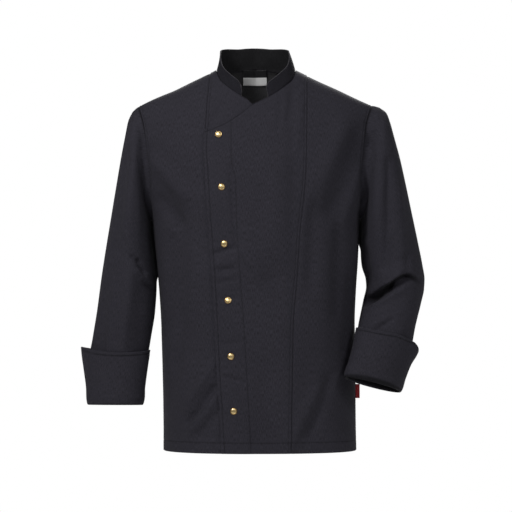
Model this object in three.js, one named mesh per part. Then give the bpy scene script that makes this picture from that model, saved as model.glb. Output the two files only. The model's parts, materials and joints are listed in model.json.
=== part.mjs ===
// A chef jacket as it hangs filled out: panels, stand collar, sleeves, turned-back cuffs and snaps.
// Sizes are millimetres. X runs to the wearer's left, the front faces -Y and Z is up.
// The origin is the middle of the neck opening, level with the side neck points.
import * as THREE from "three";

const CLOTH = 1.3;
const COLLAR_CLOTH = 2.2;
const CUFF_CLOTH = 1.5;
const SEAM_GAP = 0.4;
const HEM_Z = -758;
const UNDERARM_Z = -297;
const OVERLAP_LIFT = 2.5;
const UNDERLAP_X = 50;
const SNAP_RADIUS = 6.8;

const LOWER_ROWS = 10;
const ARM_STEPS = 12;
const SIDE_COLUMNS = 6;
const SHOULDER_COLUMNS = 2;
const AROUND = 2 * ARM_STEPS;

// A table is rows of numbers under named columns.
function table(names, ...rows) {
  const keys = names.split(" ");
  return rows.map((row) => Object.fromEntries(keys.map((key, i) => [key, row[i]])));
}

// Half widths to each side and depths to front and back of the body at each height.
const BODY = table(
  "z left right front back",
  [HEM_Z, 183.6, 199.8, 141, 131],
  [-680, 185, 199, 139, 128],
  [-570, 187.6, 198.2, 138, 124],
  [-505, 189.6, 197.4, 138, 122],
  [-440, 193.4, 200, 138, 121],
  [-380, 199, 203.6, 138.5, 121],
  [-330, 204, 205.6, 138.5, 122],
  [UNDERARM_Z, 207, 207.5, 138, 123],
  [-260, 217.5, 217, 136, 123],
  [-200, 229, 227, 130.5, 121],
  [-153, 235, 232, 122, 116],
  [-110, 242, 237, 110.5, 110],
  [-73, 253, 249, 97, 103],
  [-40, 258, 256, 84, 97],
  [-20, 262, 260, 75, 91],
  [10, 268, 268, 62, 82],
);
const SQUARENESS = 2.3;

// The shoulder line in the front view, and how the cloth rolls over it from front to back.
const SHOULDER_SLOPE = 0.46;
const SHOULDER_START = 75;
const SHOULDER_ROLL = 110;
const ROLL_POWER = 2.6;

// Armhole: how far round from the side its edge lies, in degrees.
const ARMHOLE_TURN = 24;
const ARMHOLE_BACK_EXTRA = 3;

// Neckline from the side neck point down to the point of the V, and over the back.
const NECK_FRONT = table(
  "x z",
  [79, -1.84],
  [78, -7],
  [71.7, -23],
  [53.5, -40.5],
  [27, -58.3],
  [-6.7, -74.2],
);
const NECK_BACK = table("x z", [79, -1.84], [76, -2], [68, -1.8], [56, -1.5], [40, -0.4], [20, 3.4], [0, 6.5]);
const VEE = { x: -6.7, z: -74.2 };
const COLLAR_END_RIGHT = -29;
const COLLAR_END_LEFT = 24;

// Princess seams and the two front edges, as seen from the front.
const PRINCESS_RIGHT = table(
  "z x",
  [HEM_Z, -61.5],
  [-588, -71],
  [-424, -79],
  [-262, -91],
  [-163, -97],
  [-124, -99],
  [-82, -97.5],
  [-7.4, -91],
);
const PRINCESS_LEFT = table(
  "z x",
  [HEM_Z, 69],
  [-643, 71],
  [-506, 73.4],
  [-424, 80],
  [-331, 86],
  [-193, 98.8],
  [-12, 102],
);
const OVERLAP_EDGE = table(
  "z x",
  [HEM_Z, -66.7],
  [-588, -76],
  [-424, -84.3],
  [-262, -95.9],
  [-207, -99.3],
  [-163, -102.3],
  [-142, -102],
  [-124, -100.2],
);
const OVERLAP_TOP = table("x z", [-100.2, -124], [-93, -121], [-54.3, -107], [-28, -91], [-6.7, -74.2]);
const UNDERLAP_TOP = table("x z", [-6.7, -74.2], [20, -84], [UNDERLAP_X, -94]);

const SNAPS = table(
  "x z",
  [-73.5, -133],
  [-67.4, -236.7],
  [-62.2, -348],
  [-54.6, -458.5],
  [-49.1, -568.4],
  [-43.6, -675.4],
);

// The stand of the collar by how far round the neck from the front: its rise and its lean inwards.
const STAND = table(
  "turn rise pull",
  [0, 27, 6],
  [35, 28, 7],
  [60, 29, 8],
  [80, 34.5, 9],
  [100, 40.5, 10],
  [130, 44, 10.5],
  [180, 41, 9],
);
const STAND_LEAN = -2.5;
const STAND_END_SHARE = 0.62;
const STAND_ROUND = 13;

// Sleeve sections from the armhole down: the outer and inner end of each, and its half depths.
const SLEEVE_RIGHT = table(
  "outX outZ outY inX inZ inY front back",
  [-247, -84.5, 0, -208.6, -299, 0, 61, 62],
  [-255, -101, 0, -209.6, -303, 0, 65, 66],
  [-262.5, -136, 0, -210, -308, 0, 70, 71],
  [-271, -180, 0, -210, -316, 0, 75, 77],
  [-281.5, -240, 0, -209.4, -328, 0, 79, 81],
  [-292, -305, 0, -208, -346, 2, 79, 81],
  [-301.5, -365, 2, -203.2, -386, 2, 75, 77],
  [-309.5, -420, 2, -198.6, -432, 0, 69, 71],
  [-317.5, -477, 0, -201.5, -480, -4, 61, 63],
  [-326, -532, -4, -210.5, -536, -10, 53, 54],
  [-333, -585, -9, -218, -585, -16, 46, 46],
  [-332.5, -666, -15, -228.5, -666, -23, 41, 41],
);
const SLEEVE_LEFT = table(
  "outX outZ outY inX inZ inY front back",
  [247, -75.2, 0, 208.8, -299, 0, 61, 62],
  [260.5, -85.5, 0, 209.8, -302, 0, 66, 66],
  [268.5, -105, 0, 210.6, -306, 0, 71, 71],
  [276, -132, 0, 211, -311, 0, 75, 75],
  [287, -173, 0, 211, -318, 0, 79, 79],
  [300, -231, 2, 210.8, -329, 1, 80, 80],
  [313, -294, 5, 210, -344, 3, 78, 79],
  [324.5, -348, 8, 209.6, -365, 5, 74, 76],
  [332.5, -386, 10, 211.6, -391, 6, 71, 73],
  [337.6, -418, 10, 219.5, -418, 4, 67, 70],
  [336.5, -438, 8, 220.5, -434, 0, 64, 67],
  [328.5, -470, 2, 214, -462, -14, 58, 60],
  [315, -512, -10, 206.5, -500, -46, 50, 50],
  [303, -562, -26, 198, -546, -80, 42, 42],
  [281, -640, -44, 180.5, -608, -108, 35, 35],
);

// Cuffs: how far they stand off the sleeve, and how their outer side flares from the fold to the top.
const CUFF_STAND_OFF = 4.2;
const CUFF_FLARE_RIGHT = table("up flare", [0, 0], [0.27, 2.3], [0.57, 6.8], [0.87, 11.7], [1, 14]);
const CUFF_FLARE_LEFT = table(
  "up flare",
  [0, 0],
  [0.25, 1],
  [0.5, 5],
  [0.7, 11],
  [0.84, 12],
  [0.94, 7],
  [1, 1],
);

// Soft folds: a trough or ridge along a line seen from the front (side -1) or back (side 1).
const FOLDS = table(
  "side x0 z0 x1 z1 width depth",
  [-1, 208, -150, 150, -292, 20, 4.5],
  [-1, 150, -120, 138, -330, 26, 3],
  [-1, -204, -165, -150, -300, 20, 3.5],
  [-1, -72, -618, -122, -662, 13, 2.4],
  [-1, 178, -330, 150, -620, 22, 3.5],
  [-1, -168, -340, -146, -640, 24, 3.5],
  [-1, 110, -560, 96, HEM_Z, 26, 3],
  [1, -206, -160, -140, -320, 22, 5],
  [1, 206, -160, 142, -330, 22, 5],
  [1, -92, -300, -84, HEM_Z, 34, 6],
  [1, 84, -320, 92, HEM_Z, 36, 6],
  [1, 4, -420, -6, HEM_Z, 30, -4],
  [1, -168, -360, -150, -690, 24, 4],
  [1, 170, -380, 152, -680, 24, 4],
);
const SLEEVE_FOLDS = table(
  "side x0 z0 x1 z1 width depth",
  [-1, 326, -408, 262, -428, 9, 5],
  [-1, 272, -424, 216, -462, 9, 7],
  [-1, 300, -150, 288, -330, 14, 4],
  [-1, 246, -160, 258, -350, 13, 4],
  [-1, 225, -430, 262, -392, 9, 4],
  [1, 300, -405, 232, -430, 12, 6],
  [1, 290, -180, 280, -340, 16, 4],
  [-1, -262, -170, -278, -360, 14, 3.5],
  [-1, -204, -425, -248, -446, 8, 3.5],
  [-1, -206, -470, -252, -452, 8, 3],
  [1, -214, -420, -282, -440, 11, 5],
  [1, -270, -190, -282, -350, 15, 4],
);

const vec = (x, y, z) => new THREE.Vector3(x, y, z);
const mix = (a, b, t) => a + (b - a) * t;
const clamp01 = (t) => Math.min(1, Math.max(0, t));
const smooth = (t) => clamp01(t) ** 2 * (3 - 2 * clamp01(t));
const radians = THREE.MathUtils.degToRad;

// Reads a column at any value of the key column: smooth between the rows, never past them.
function read(rows, key, column, at) {
  const up = rows[rows.length - 1][key] > rows[0][key];
  const list = up ? rows : [...rows].reverse();
  const last = list.length - 1;
  if (at <= list[0][key]) return list[0][column];
  if (at >= list[last][key]) return list[last][column];
  let i = 0;
  while (at > list[i + 1][key]) i++;
  const secant = (k) =>
    k < 0 || k >= last
      ? null
      : (list[k + 1][column] - list[k][column]) / (list[k + 1][key] - list[k][key]);
  const slope = (k) => {
    const a = secant(k - 1);
    const b = secant(k);
    if (a === null) return b;
    if (b === null) return a;
    return a * b <= 0 ? 0 : (2 * a * b) / (a + b);
  };
  const span = list[i + 1][key] - list[i][key];
  const t = (at - list[i][key]) / span;
  const a = list[i][column];
  const b = list[i + 1][column];
  return (
    a * (1 + 2 * t) * (1 - t) ** 2 +
    b * t * t * (3 - 2 * t) +
    span * (slope(i) * t * (1 - t) ** 2 + slope(i + 1) * t * t * (t - 1))
  );
}

// How deep the folds of a table are at a point of the front or back.
function foldDepth(folds, side, x, z) {
  let depth = 0;
  for (const f of folds) {
    if (f.side !== side) continue;
    const dx = f.x1 - f.x0;
    const dz = f.z1 - f.z0;
    const length = dx * dx + dz * dz;
    const t = ((x - f.x0) * dx + (z - f.z0) * dz) / length;
    const near = clamp01(t);
    const away = Math.hypot(x - f.x0 - near * dx, z - f.z0 - near * dz);
    const ends = smooth((t + 0.2) / 0.4) * smooth((1.2 - t) / 0.4);
    depth += f.depth * Math.exp(-((away / f.width) ** 2)) * (0.35 + 0.65 * ends);
  }
  return depth;
}

const shoulderLine = (x) => -SHOULDER_SLOPE * (Math.abs(x) - SHOULDER_START);

// The worn form: a point by its turn (0 wearer's left, 90 front, 180 right, 270 back) and height.
function form(turn, z) {
  const c = Math.cos(radians(turn));
  const s = Math.sin(radians(turn));
  const half = read(BODY, "z", c >= 0 ? "right" : "left", z);
  const deep = read(BODY, "z", s >= 0 ? "front" : "back", z);
  const x = Math.sign(c) * half * Math.abs(c) ** (2 / SQUARENESS);
  const under = clamp01((shoulderLine(x) - z) / SHOULDER_ROLL);
  const roll = (1 - (1 - under) ** ROLL_POWER) ** (1 / ROLL_POWER);
  const side = s >= 0 ? -1 : 1;
  const flat = Math.abs(s) ** (2 / SQUARENESS) * roll;
  return vec(x, side * (deep * flat - foldDepth(FOLDS, side, x, z) * smooth(flat * 2)), z);
}

// The turn at which the form is seen at x, for the front or the back.
function turnAt(x, z, back = false) {
  const half = read(BODY, "z", x >= 0 ? "right" : "left", z);
  const base = THREE.MathUtils.radToDeg(Math.acos(Math.min(1, (Math.abs(x) / half) ** (SQUARENESS / 2))));
  if (back) return x >= 0 ? 360 - base : 180 + base;
  return x >= 0 ? base : 180 - base;
}

function formNormal(turn, z) {
  const across = form(turn + 0.4, z).sub(form(turn - 0.4, z));
  const along = form(turn, z + 0.6).sub(form(turn, z - 0.6));
  return along.cross(across).normalize();
}

const liftAt = (x) => OVERLAP_LIFT * smooth((66 - x) / 13);

function spot(x, z, back = false) {
  return { turn: turnAt(x, z, back), z };
}

// Points along a short table of a curve seen from the front, smooth, at a list of x.
function curveSpots(rows, xs) {
  return xs.map((x) => spot(x, read(rows, "x", "z", x)));
}

// The armhole, from the shoulder tip (0) by the front (90) to the underarm (180) and up the back.
function tipZ(sign) {
  let z = -70;
  const reach = Math.cos(radians(ARMHOLE_TURN)) ** (2 / SQUARENESS);
  for (let i = 0; i < 30; i++) z = shoulderLine(reach * read(BODY, "z", sign > 0 ? "right" : "left", z));
  return z;
}

function armholeSpot(sign, phase) {
  const top = tipZ(sign);
  const half = (top - UNDERARM_Z) / 2;
  const z = UNDERARM_Z + half + half * Math.cos(radians(phase));
  const sine = Math.sin(radians(phase));
  const widest = ARMHOLE_TURN + (sine < 0 ? ARMHOLE_BACK_EXTRA * sine * sine : 0);
  const open = phase > 90 && phase < 270 ? widest * Math.abs(sine) : widest;
  const front = phase <= 180;
  if (sign > 0) return { turn: front ? open : 360 - open, z };
  return { turn: front ? 180 - open : 180 + open, z };
}

const phases = Array.from({ length: AROUND }, (_, k) => (360 * k) / AROUND);

// Shared rows of the panels: heights of a seam that runs from the hem to the shoulder.
function seamRows(topZ) {
  const rows = [];
  for (let i = 0; i < LOWER_ROWS; i++) rows.push(mix(HEM_Z, UNDERARM_Z, i / LOWER_ROWS));
  for (let k = 0; k <= ARM_STEPS; k++) {
    rows.push(mix(UNDERARM_Z, topZ, (1 - Math.cos((Math.PI * k) / ARM_STEPS)) / 2));
  }
  return rows;
}

function sideRows(sign, back) {
  const rows = [];
  const side = sign > 0 ? (back ? 360 : 0) : 180;
  for (let i = 0; i < LOWER_ROWS; i++) {
    rows.push({ turn: side, z: mix(HEM_Z, UNDERARM_Z, i / LOWER_ROWS) });
  }
  for (let k = 0; k <= ARM_STEPS; k++) {
    const down = 180 - (180 * k) / ARM_STEPS;
    rows.push(armholeSpot(sign, back ? 360 - down : down));
  }
  if (back && sign > 0) rows.forEach((row) => (row.turn = row.turn < 90 ? 360 : row.turn));
  return rows;
}

// Fills a panel between its four edges, each a list of spots (turn and height).
function fill(left, right, bottom, top) {
  const m = left.length - 1;
  const n = bottom.length - 1;
  const grid = [];
  for (let i = 0; i <= m; i++) {
    const tL = (left[i].z - left[0].z) / (left[m].z - left[0].z);
    const tR = (right[i].z - right[0].z) / (right[m].z - right[0].z);
    const row = [];
    for (let j = 0; j <= n; j++) {
      const s = j / n;
      const t = mix(tL, tR, s);
      const at = (key) => {
        if (j === 0) return left[i][key];
        if (j === n) return right[i][key];
        if (i === 0) return bottom[j][key];
        if (i === m) return top[j][key];
        const ruled = mix(left[i][key], right[i][key], s) + mix(bottom[j][key], top[j][key], t);
        const corners = mix(
          mix(bottom[0][key], bottom[n][key], s),
          mix(top[0][key], top[n][key], s),
          t,
        );
        return ruled - corners;
      };
      row.push({ turn: at("turn"), z: at("z") });
    }
    grid.push(row);
  }
  return grid;
}

// Turns spots into points and normals of the form, lifted where one layer lies on another.
function drape(spots, lifted = false) {
  return spots.map((row) =>
    row.map(({ turn, z }) => {
      const p = form(turn, z);
      const n = formNormal(turn, z);
      if (lifted) p.addScaledVector(n, liftAt(p.x));
      return { p, n };
    }),
  );
}

// Normals of a grid of points from its own neighbours; round is true for a tube.
function gridNormals(points, round) {
  const m = points.length - 1;
  return points.map((row, i) =>
    row.map((p, j) => {
      const n = row.length;
      const before = round ? row[(j + n - 1) % n] : row[Math.max(0, j - 1)];
      const after = round ? row[(j + 1) % n] : row[Math.min(n - 1, j + 1)];
      const up = points[Math.min(m, i + 1)][j];
      const down = points[Math.max(0, i - 1)][j];
      const normal = up.clone().sub(down).cross(after.clone().sub(before)).normalize();
      return { p: p.clone(), n: normal };
    }),
  );
}

const flipped = (grid) => grid.map((row) => row.map(({ p, n }) => ({ p, n: n.negate() })));

// Draws an edge of a grid back from its seam by half the seam gap.
function trim(grid, edges, round = false) {
  const m = grid.length - 1;
  const n = grid[0].length - 1;
  const moves = [];
  const move = (i, j, ni, nj, ti, tj, ui, uj) => {
    const { p, n: normal } = grid[i][j];
    const tangent = grid[ti][tj].p.clone().sub(grid[ui][uj].p);
    const inward = normal.clone().cross(tangent).normalize();
    if (inward.dot(grid[ni][nj].p.clone().sub(p)) < 0) inward.negate();
    moves.push([p, inward.multiplyScalar(SEAM_GAP / 2)]);
  };
  const last = round ? n + 1 : n;
  for (const edge of edges) {
    if (edge === "bottom" || edge === "top") {
      const i = edge === "bottom" ? 0 : m;
      const inner = edge === "bottom" ? 1 : m - 1;
      for (let j = 0; j <= n; j++) {
        const a = round ? (j + last - 1) % last : Math.max(0, j - 1);
        const b = round ? (j + 1) % last : Math.min(n, j + 1);
        move(i, j, inner, j, i, a, i, b);
      }
    } else {
      const j = edge === "left" ? 0 : n;
      const inner = edge === "left" ? 1 : n - 1;
      for (let i = 0; i <= m; i++) {
        move(i, j, i, inner, Math.max(0, i - 1), j, Math.min(m, i + 1), j);
      }
    }
  }
  moves.forEach(([p, by]) => p.add(by));
  return grid;
}

// Three pieces meet at a corner, so its point is drawn a little further from the seam.
function easeCorner(cell, towardFront) {
  cell.p.y += (towardFront ? -1 : 1) * SEAM_GAP * 0.4;
}

// Closes a grid into a wall of cloth: outer face, inner face and rims.
function wall(grid, thickness, round = false) {
  const m = grid.length;
  const n = grid[0].length;
  const positions = [];
  for (const depth of [0, thickness]) {
    for (const row of grid) {
      for (const { p, n: normal } of row) {
        const q = p.clone().addScaledVector(normal, -depth);
        positions.push(q.x, q.y, q.z);
      }
    }
  }
  const outer = (i, j) => i * n + (j % n);
  const inner = (i, j) => m * n + outer(i, j);
  const faces = [];
  const quad = (a, b, c, d) => faces.push(a, b, c, a, c, d);
  const columns = round ? n : n - 1;
  for (let i = 0; i < m - 1; i++) {
    for (let j = 0; j < columns; j++) {
      quad(outer(i, j), outer(i, j + 1), outer(i + 1, j + 1), outer(i + 1, j));
      quad(inner(i, j), inner(i + 1, j), inner(i + 1, j + 1), inner(i, j + 1));
    }
  }
  for (let j = 0; j < columns; j++) {
    quad(outer(0, j), inner(0, j), inner(0, j + 1), outer(0, j + 1));
    quad(outer(m - 1, j), outer(m - 1, j + 1), inner(m - 1, j + 1), inner(m - 1, j));
  }
  if (!round) {
    for (let i = 0; i < m - 1; i++) {
      quad(outer(i, 0), outer(i + 1, 0), inner(i + 1, 0), inner(i, 0));
      quad(outer(i, n - 1), inner(i, n - 1), inner(i + 1, n - 1), outer(i + 1, n - 1));
    }
  }
  let volume = 0;
  const at = (k) => vec(positions[3 * k], positions[3 * k + 1], positions[3 * k + 2]);
  for (let k = 0; k < faces.length; k += 3) {
    volume += at(faces[k]).dot(at(faces[k + 1]).cross(at(faces[k + 2])));
  }
  if (volume < 0) {
    for (let k = 0; k < faces.length; k += 3) [faces[k + 1], faces[k + 2]] = [faces[k + 2], faces[k + 1]];
  }
  const geometry = new THREE.BufferGeometry();
  geometry.setAttribute("position", new THREE.Float32BufferAttribute(positions, 3));
  geometry.setIndex(faces);
  geometry.computeVertexNormals();
  return geometry;
}

const material = (color, roughness, metalness) =>
  new THREE.MeshStandardMaterial({ color, roughness, metalness, side: THREE.DoubleSide });
const CLOTH_LOOK = material(0x2d2c32, 0.86, 0);
const COLLAR_LOOK = material(0x232227, 0.88, 0);
const BRASS_LOOK = material(0xb59a62, 0.34, 1);
const BLACK_TAPE = material(0x101012, 0.7, 0);
const WHITE_TAPE = material(0xe4e4e4, 0.8, 0);
const RED_TAPE = material(0x5e0c16, 0.7, 0);

const group = new THREE.Group();
group.name = "chef_jacket";
function add(name, geometry, look) {
  const mesh = new THREE.Mesh(geometry, look);
  mesh.name = name;
  group.add(mesh);
  return mesh;
}

// Sleeves: the armhole loop, then the sections of the table, each row of the table one ring.
function section(row, phase) {
  const out = vec(row.outX, row.outY, row.outZ);
  const inn = vec(row.inX, row.inY, row.inZ);
  const middle = out.clone().add(inn).multiplyScalar(0.5);
  const half = out.clone().sub(inn).multiplyScalar(0.5);
  const along = half.clone().normalize();
  const toBack = vec(0, 1, 0).addScaledVector(along, -along.y).normalize();
  const c = Math.cos(radians(phase));
  const s = Math.sin(radians(phase));
  return middle.addScaledVector(half, c).addScaledVector(toBack, -s * (s > 0 ? row.front : row.back));
}

// A row of a sleeve table at any place between its rows.
function rowAt(rows, place) {
  const keyed = rows.map((row, place_) => ({ ...row, place: place_ }));
  return Object.fromEntries(Object.keys(rows[0]).map((key) => [key, read(keyed, "place", key, place)]));
}

function foldSleeve(grid, from) {
  return grid.map((row, i) =>
    row.map(({ p, n }) => {
      const side = n.y < 0 ? -1 : 1;
      const share = smooth(Math.abs(n.y) * 1.6) * (i < from ? 0 : 1);
      return p.clone().addScaledVector(n, -share * foldDepth(SLEEVE_FOLDS, side, p.x, p.z));
    }),
  );
}

function sleeveRings(sign, rows, lastPlace) {
  const loop = phases.map((phase) => {
    const at = armholeSpot(sign, phase);
    return form(at.turn, at.z);
  });
  const rings = [loop];
  for (let place = 0; place < lastPlace - 0.01; place += place < 5 ? 1 : 0.5) {
    rings.push(phases.map((phase) => section(rowAt(rows, place), phase)));
  }
  rings.push(phases.map((phase) => section(rowAt(rows, lastPlace), phase)));
  return rings;
}

function outwardGrid(points) {
  const grid = gridNormals(points, true);
  const ring = grid[Math.floor(grid.length / 2)];
  const middle = ring.reduce((sum, { p }) => sum.add(p), vec(0, 0, 0)).divideScalar(ring.length);
  const out = ring[0].p.clone().sub(middle).dot(ring[0].n);
  return out < 0 ? flipped(grid) : grid;
}

const SLEEVES = {
  right: { sign: -1, rows: SLEEVE_RIGHT, end: 10.7 },
  left: { sign: 1, rows: SLEEVE_LEFT, end: 13.7 },
};
const armholeNormals = {};
for (const [name, sleeve] of Object.entries(SLEEVES)) {
  const smoothTube = outwardGrid(sleeveRings(sleeve.sign, sleeve.rows, sleeve.end));
  const tube = outwardGrid(foldSleeve(smoothTube, 4));
  armholeNormals[name] = phases.map((phase, k) => {
    const at = armholeSpot(sleeve.sign, phase);
    return formNormal(at.turn, at.z).add(smoothTube[0][k].n).normalize();
  });
  tube[0].forEach((spotHere, k) => spotHere.n.copy(armholeNormals[name][k]));
  sleeve.grid = trim(tube, ["bottom", "top"], true);
  add("sleeve_" + name, wall(sleeve.grid, CLOTH, true), CLOTH_LOOK);
}

// Cuffs: up the inner leg's end, round the fold at the bottom and up the outside to a flared top.
const CUFF_SHAPE = {
  right: { fold: 11, places: [10.6, 10.15, 9.7, 9.5], flare: CUFF_FLARE_RIGHT, sag: 5, sagOut: 0 },
  left: {
    fold: 14,
    places: [13.6, 13.2, 12.9, 12.65, 12.47, 12.35],
    flare: CUFF_FLARE_LEFT,
    sag: 3,
    sagOut: 18,
  },
};
for (const [name, sleeve] of Object.entries(SLEEVES)) {
  const shape = CUFF_SHAPE[name];
  const ringAt = (place, off, dip = 0) => {
    const row = rowAt(sleeve.rows, place);
    const ahead = rowAt(sleeve.rows, place - 0.2);
    return phases.map((phase) => {
      const p = section(row, phase);
      const q = section(ahead, phase);
      const next = section(row, phase + 4);
      const back = q.sub(p).normalize();
      const outward = back.clone().cross(next.sub(p)).normalize();
      const middle = vec((row.outX + row.inX) / 2, (row.outY + row.inY) / 2, (row.outZ + row.inZ) / 2);
      if (outward.dot(p.clone().sub(middle)) < 0) outward.negate();
      const amount = typeof off === "function" ? off(phase) : off;
      const drop = typeof dip === "function" ? dip(phase) : dip;
      return p.addScaledVector(outward, amount).addScaledVector(back, -drop);
    });
  };
  const inside = -CLOTH;
  const span = (CUFF_STAND_OFF - inside) / 2;
  const points = [];
  points.push(ringAt(sleeve.end, inside, SEAM_GAP));
  points.push(ringAt(mix(sleeve.end, shape.fold, 0.5), inside));
  for (const turn of [0, 45, 90, 135, 180]) {
    const off = inside + span * (1 - Math.cos(radians(turn)));
    points.push(ringAt(shape.fold, off, span * Math.sin(radians(turn))));
  }
  const topPlace = shape.places[shape.places.length - 1];
  for (const place of shape.places) {
    const up = (shape.fold - place) / (shape.fold - topPlace);
    const wide = read(shape.flare, "up", "flare", up);
    const outerShare = (phase) => Math.max(0, Math.cos(radians(phase)));
    const flare = (phase) => CUFF_STAND_OFF + wide * outerShare(phase) ** 3;
    const sag = (phase) =>
      up * (shape.sag * Math.sin(radians(phase)) ** 2 + shape.sagOut * outerShare(phase) ** 1.3);
    points.push(ringAt(place, flare, sag));
  }
  const grid = gridNormals(points, true);
  const top = grid[grid.length - 1];
  const middle = top.reduce((sum, { p }) => sum.add(p), vec(0, 0, 0)).divideScalar(top.length);
  const faced = top[0].p.clone().sub(middle).dot(top[0].n) < 0 ? flipped(grid) : grid;
  add("cuff_" + name, wall(faced, CUFF_CLOTH, true), CLOTH_LOOK);
}

// The neckline, shared by the panels' top edges and the base of the collar.
const END_STEPS = [0, 3, 7.5, 13];
const FRONT_NECK_STEPS = 6;
const BACK_NECK_STEPS = 6;
function neckFrontSpots(sign, endX) {
  const path = [];
  for (let k = 0; k <= 200; k++) {
    const z = mix(read(NECK_FRONT, "x", "z", sign * endX), NECK_FRONT[0].z, k / 200);
    path.push({ x: read(NECK_FRONT, "z", "x", z), z });
  }
  const lengths = [0];
  for (let k = 1; k < path.length; k++) {
    const step = Math.hypot(path[k].x - path[k - 1].x, path[k].z - path[k - 1].z);
    lengths.push(lengths[k - 1] + step);
  }
  const total = lengths[lengths.length - 1];
  const stops = [...END_STEPS];
  const from = END_STEPS[END_STEPS.length - 1];
  for (let k = 1; k <= FRONT_NECK_STEPS; k++) stops.push(mix(from, total, k / FRONT_NECK_STEPS));
  return stops.map((stop) => {
    let k = 1;
    while (k < lengths.length - 1 && lengths[k] < stop) k++;
    const t = (stop - lengths[k - 1]) / (lengths[k] - lengths[k - 1]);
    return spot(sign * mix(path[k - 1].x, path[k].x, t), mix(path[k - 1].z, path[k].z, t));
  });
}
function neckBackSpots() {
  const spots = [];
  for (let k = -BACK_NECK_STEPS; k <= BACK_NECK_STEPS; k++) {
    const x = 79 * Math.sin((Math.PI / 2) * (k / BACK_NECK_STEPS));
    spots.push(spot(x, read(NECK_BACK, "x", "z", Math.abs(x)), true));
  }
  return spots;
}
const neckRight = neckFrontSpots(-1, COLLAR_END_RIGHT);
const neckLeft = neckFrontSpots(1, COLLAR_END_LEFT);
const neckBack = neckBackSpots();

// The collar stands on the neckline, from its right end round the back to its left end.
const baseSpots = [...neckRight, ...neckBack.slice(1, -1), ...[...neckLeft].reverse()];
const collarBase = baseSpots.map(({ turn, z }) => {
  const p = form(turn, z);
  const lifted = turn < 90 && turn > 0 ? liftAt(p.x) : 0;
  return p.addScaledVector(formNormal(turn, z), lifted);
});
const STAND_ROWS = 5;
const endDistance = (k) => {
  let sum = 0;
  for (let a = 0; a < k; a++) sum += collarBase[a].distanceTo(collarBase[a + 1]);
  return sum;
};
const collarLength = endDistance(collarBase.length - 1);
const collarPoints = [];
for (let i = 0; i <= STAND_ROWS; i++) {
  collarPoints.push(
    collarBase.map((p, k) => {
      const along = endDistance(k);
      const nearEnd = Math.min(along, collarLength - along);
      const turn = THREE.MathUtils.radToDeg(Math.atan2(Math.abs(p.x), -(p.y + 6)));
      const round = Math.sqrt(1 - (1 - clamp01(nearEnd / STAND_ROUND)) ** 2);
      const share = mix(STAND_END_SHARE, 1, round);
      const rise = read(STAND, "turn", "rise", turn) * share;
      const pull = read(STAND, "turn", "pull", turn) * share;
      const toAxis = vec(-p.x, -(p.y + 6), 0).normalize();
      const t = i / STAND_ROWS;
      return p.clone().addScaledVector(toAxis, pull * t * (1.25 - 0.25 * t)).add(vec(STAND_LEAN * t * t, 0, rise * t));
    }),
  );
}
let collarGrid = gridNormals(collarPoints, false);
if (collarGrid[2][12].n.dot(vec(collarGrid[2][12].p.x, collarGrid[2][12].p.y + 6, 0)) < 0) {
  collarGrid = flipped(collarGrid);
}
const neckNormals = baseSpots.map(({ turn, z }, k) =>
  formNormal(turn, Math.min(z, z - 0.8)).add(collarGrid[0][k].n).normalize(),
);
collarGrid[0].forEach((spotHere, k) => spotHere.n.copy(neckNormals[k]));
add("collar", wall(trim(collarGrid, ["bottom"]), COLLAR_CLOTH), COLLAR_LOOK);

// Shoulder seams, from the neck point to the princess seam and on to the tip of the armhole.
const shoulderSpots = (sign, from, to, steps, back) =>
  Array.from({ length: steps + 1 }, (_, k) => {
    const x = mix(from, to, k / steps);
    return spot(sign * x, shoulderLine(x), back);
  });
const tipX = (sign) => {
  const at = armholeSpot(sign, 0);
  return Math.abs(form(at.turn, at.z).x);
};
const PRINCESS_TOP_RIGHT = 91;
const PRINCESS_TOP_LEFT = 102;
const shoulderNormal = (x) => vec(Math.sign(x) * SHOULDER_SLOPE, 0, 1).normalize();

function setNormals(cells, normals) {
  cells.forEach((cell, k) => cell.n.copy(normals[k]));
}

const evenSpots = (from, to, steps, z) =>
  Array.from({ length: steps + 1 }, (_, k) => ({ turn: mix(from, to, k / steps), z }));

// Side fronts.
function sideFront(sign, topX, princess, name) {
  const topZ = shoulderLine(topX);
  const inner = seamRows(topZ).map((z, i, all) => {
    const x = i === all.length - 1 ? sign * topX : read(princess, "z", "x", z);
    return spot(x, z);
  });
  const outer = sideRows(sign, false);
  const top = shoulderSpots(sign, topX, tipX(sign), SIDE_COLUMNS, false);
  top[SIDE_COLUMNS] = outer[outer.length - 1];
  const bottom = evenSpots(inner[0].turn, outer[0].turn, SIDE_COLUMNS, HEM_Z);
  const grid = drape(fill(inner, outer, bottom, top));
  const last = grid.length - 1;
  grid[last].forEach((cell) => cell.n.copy(shoulderNormal(sign)));
  for (let k = 0; k <= ARM_STEPS; k++) {
    grid[LOWER_ROWS + k][SIDE_COLUMNS].n.copy(armholeNormals[name][ARM_STEPS - k]);
  }
  trim(grid, ["left", "right", "top"]);
  easeCorner(grid[LOWER_ROWS][SIDE_COLUMNS], true);
  easeCorner(grid[last][SIDE_COLUMNS], true);
  add("front_side_" + name, wall(grid, CLOTH), CLOTH_LOOK);
}
sideFront(-1, PRINCESS_TOP_RIGHT, PRINCESS_RIGHT, "right");
sideFront(1, PRINCESS_TOP_LEFT, PRINCESS_LEFT, "left");

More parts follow.
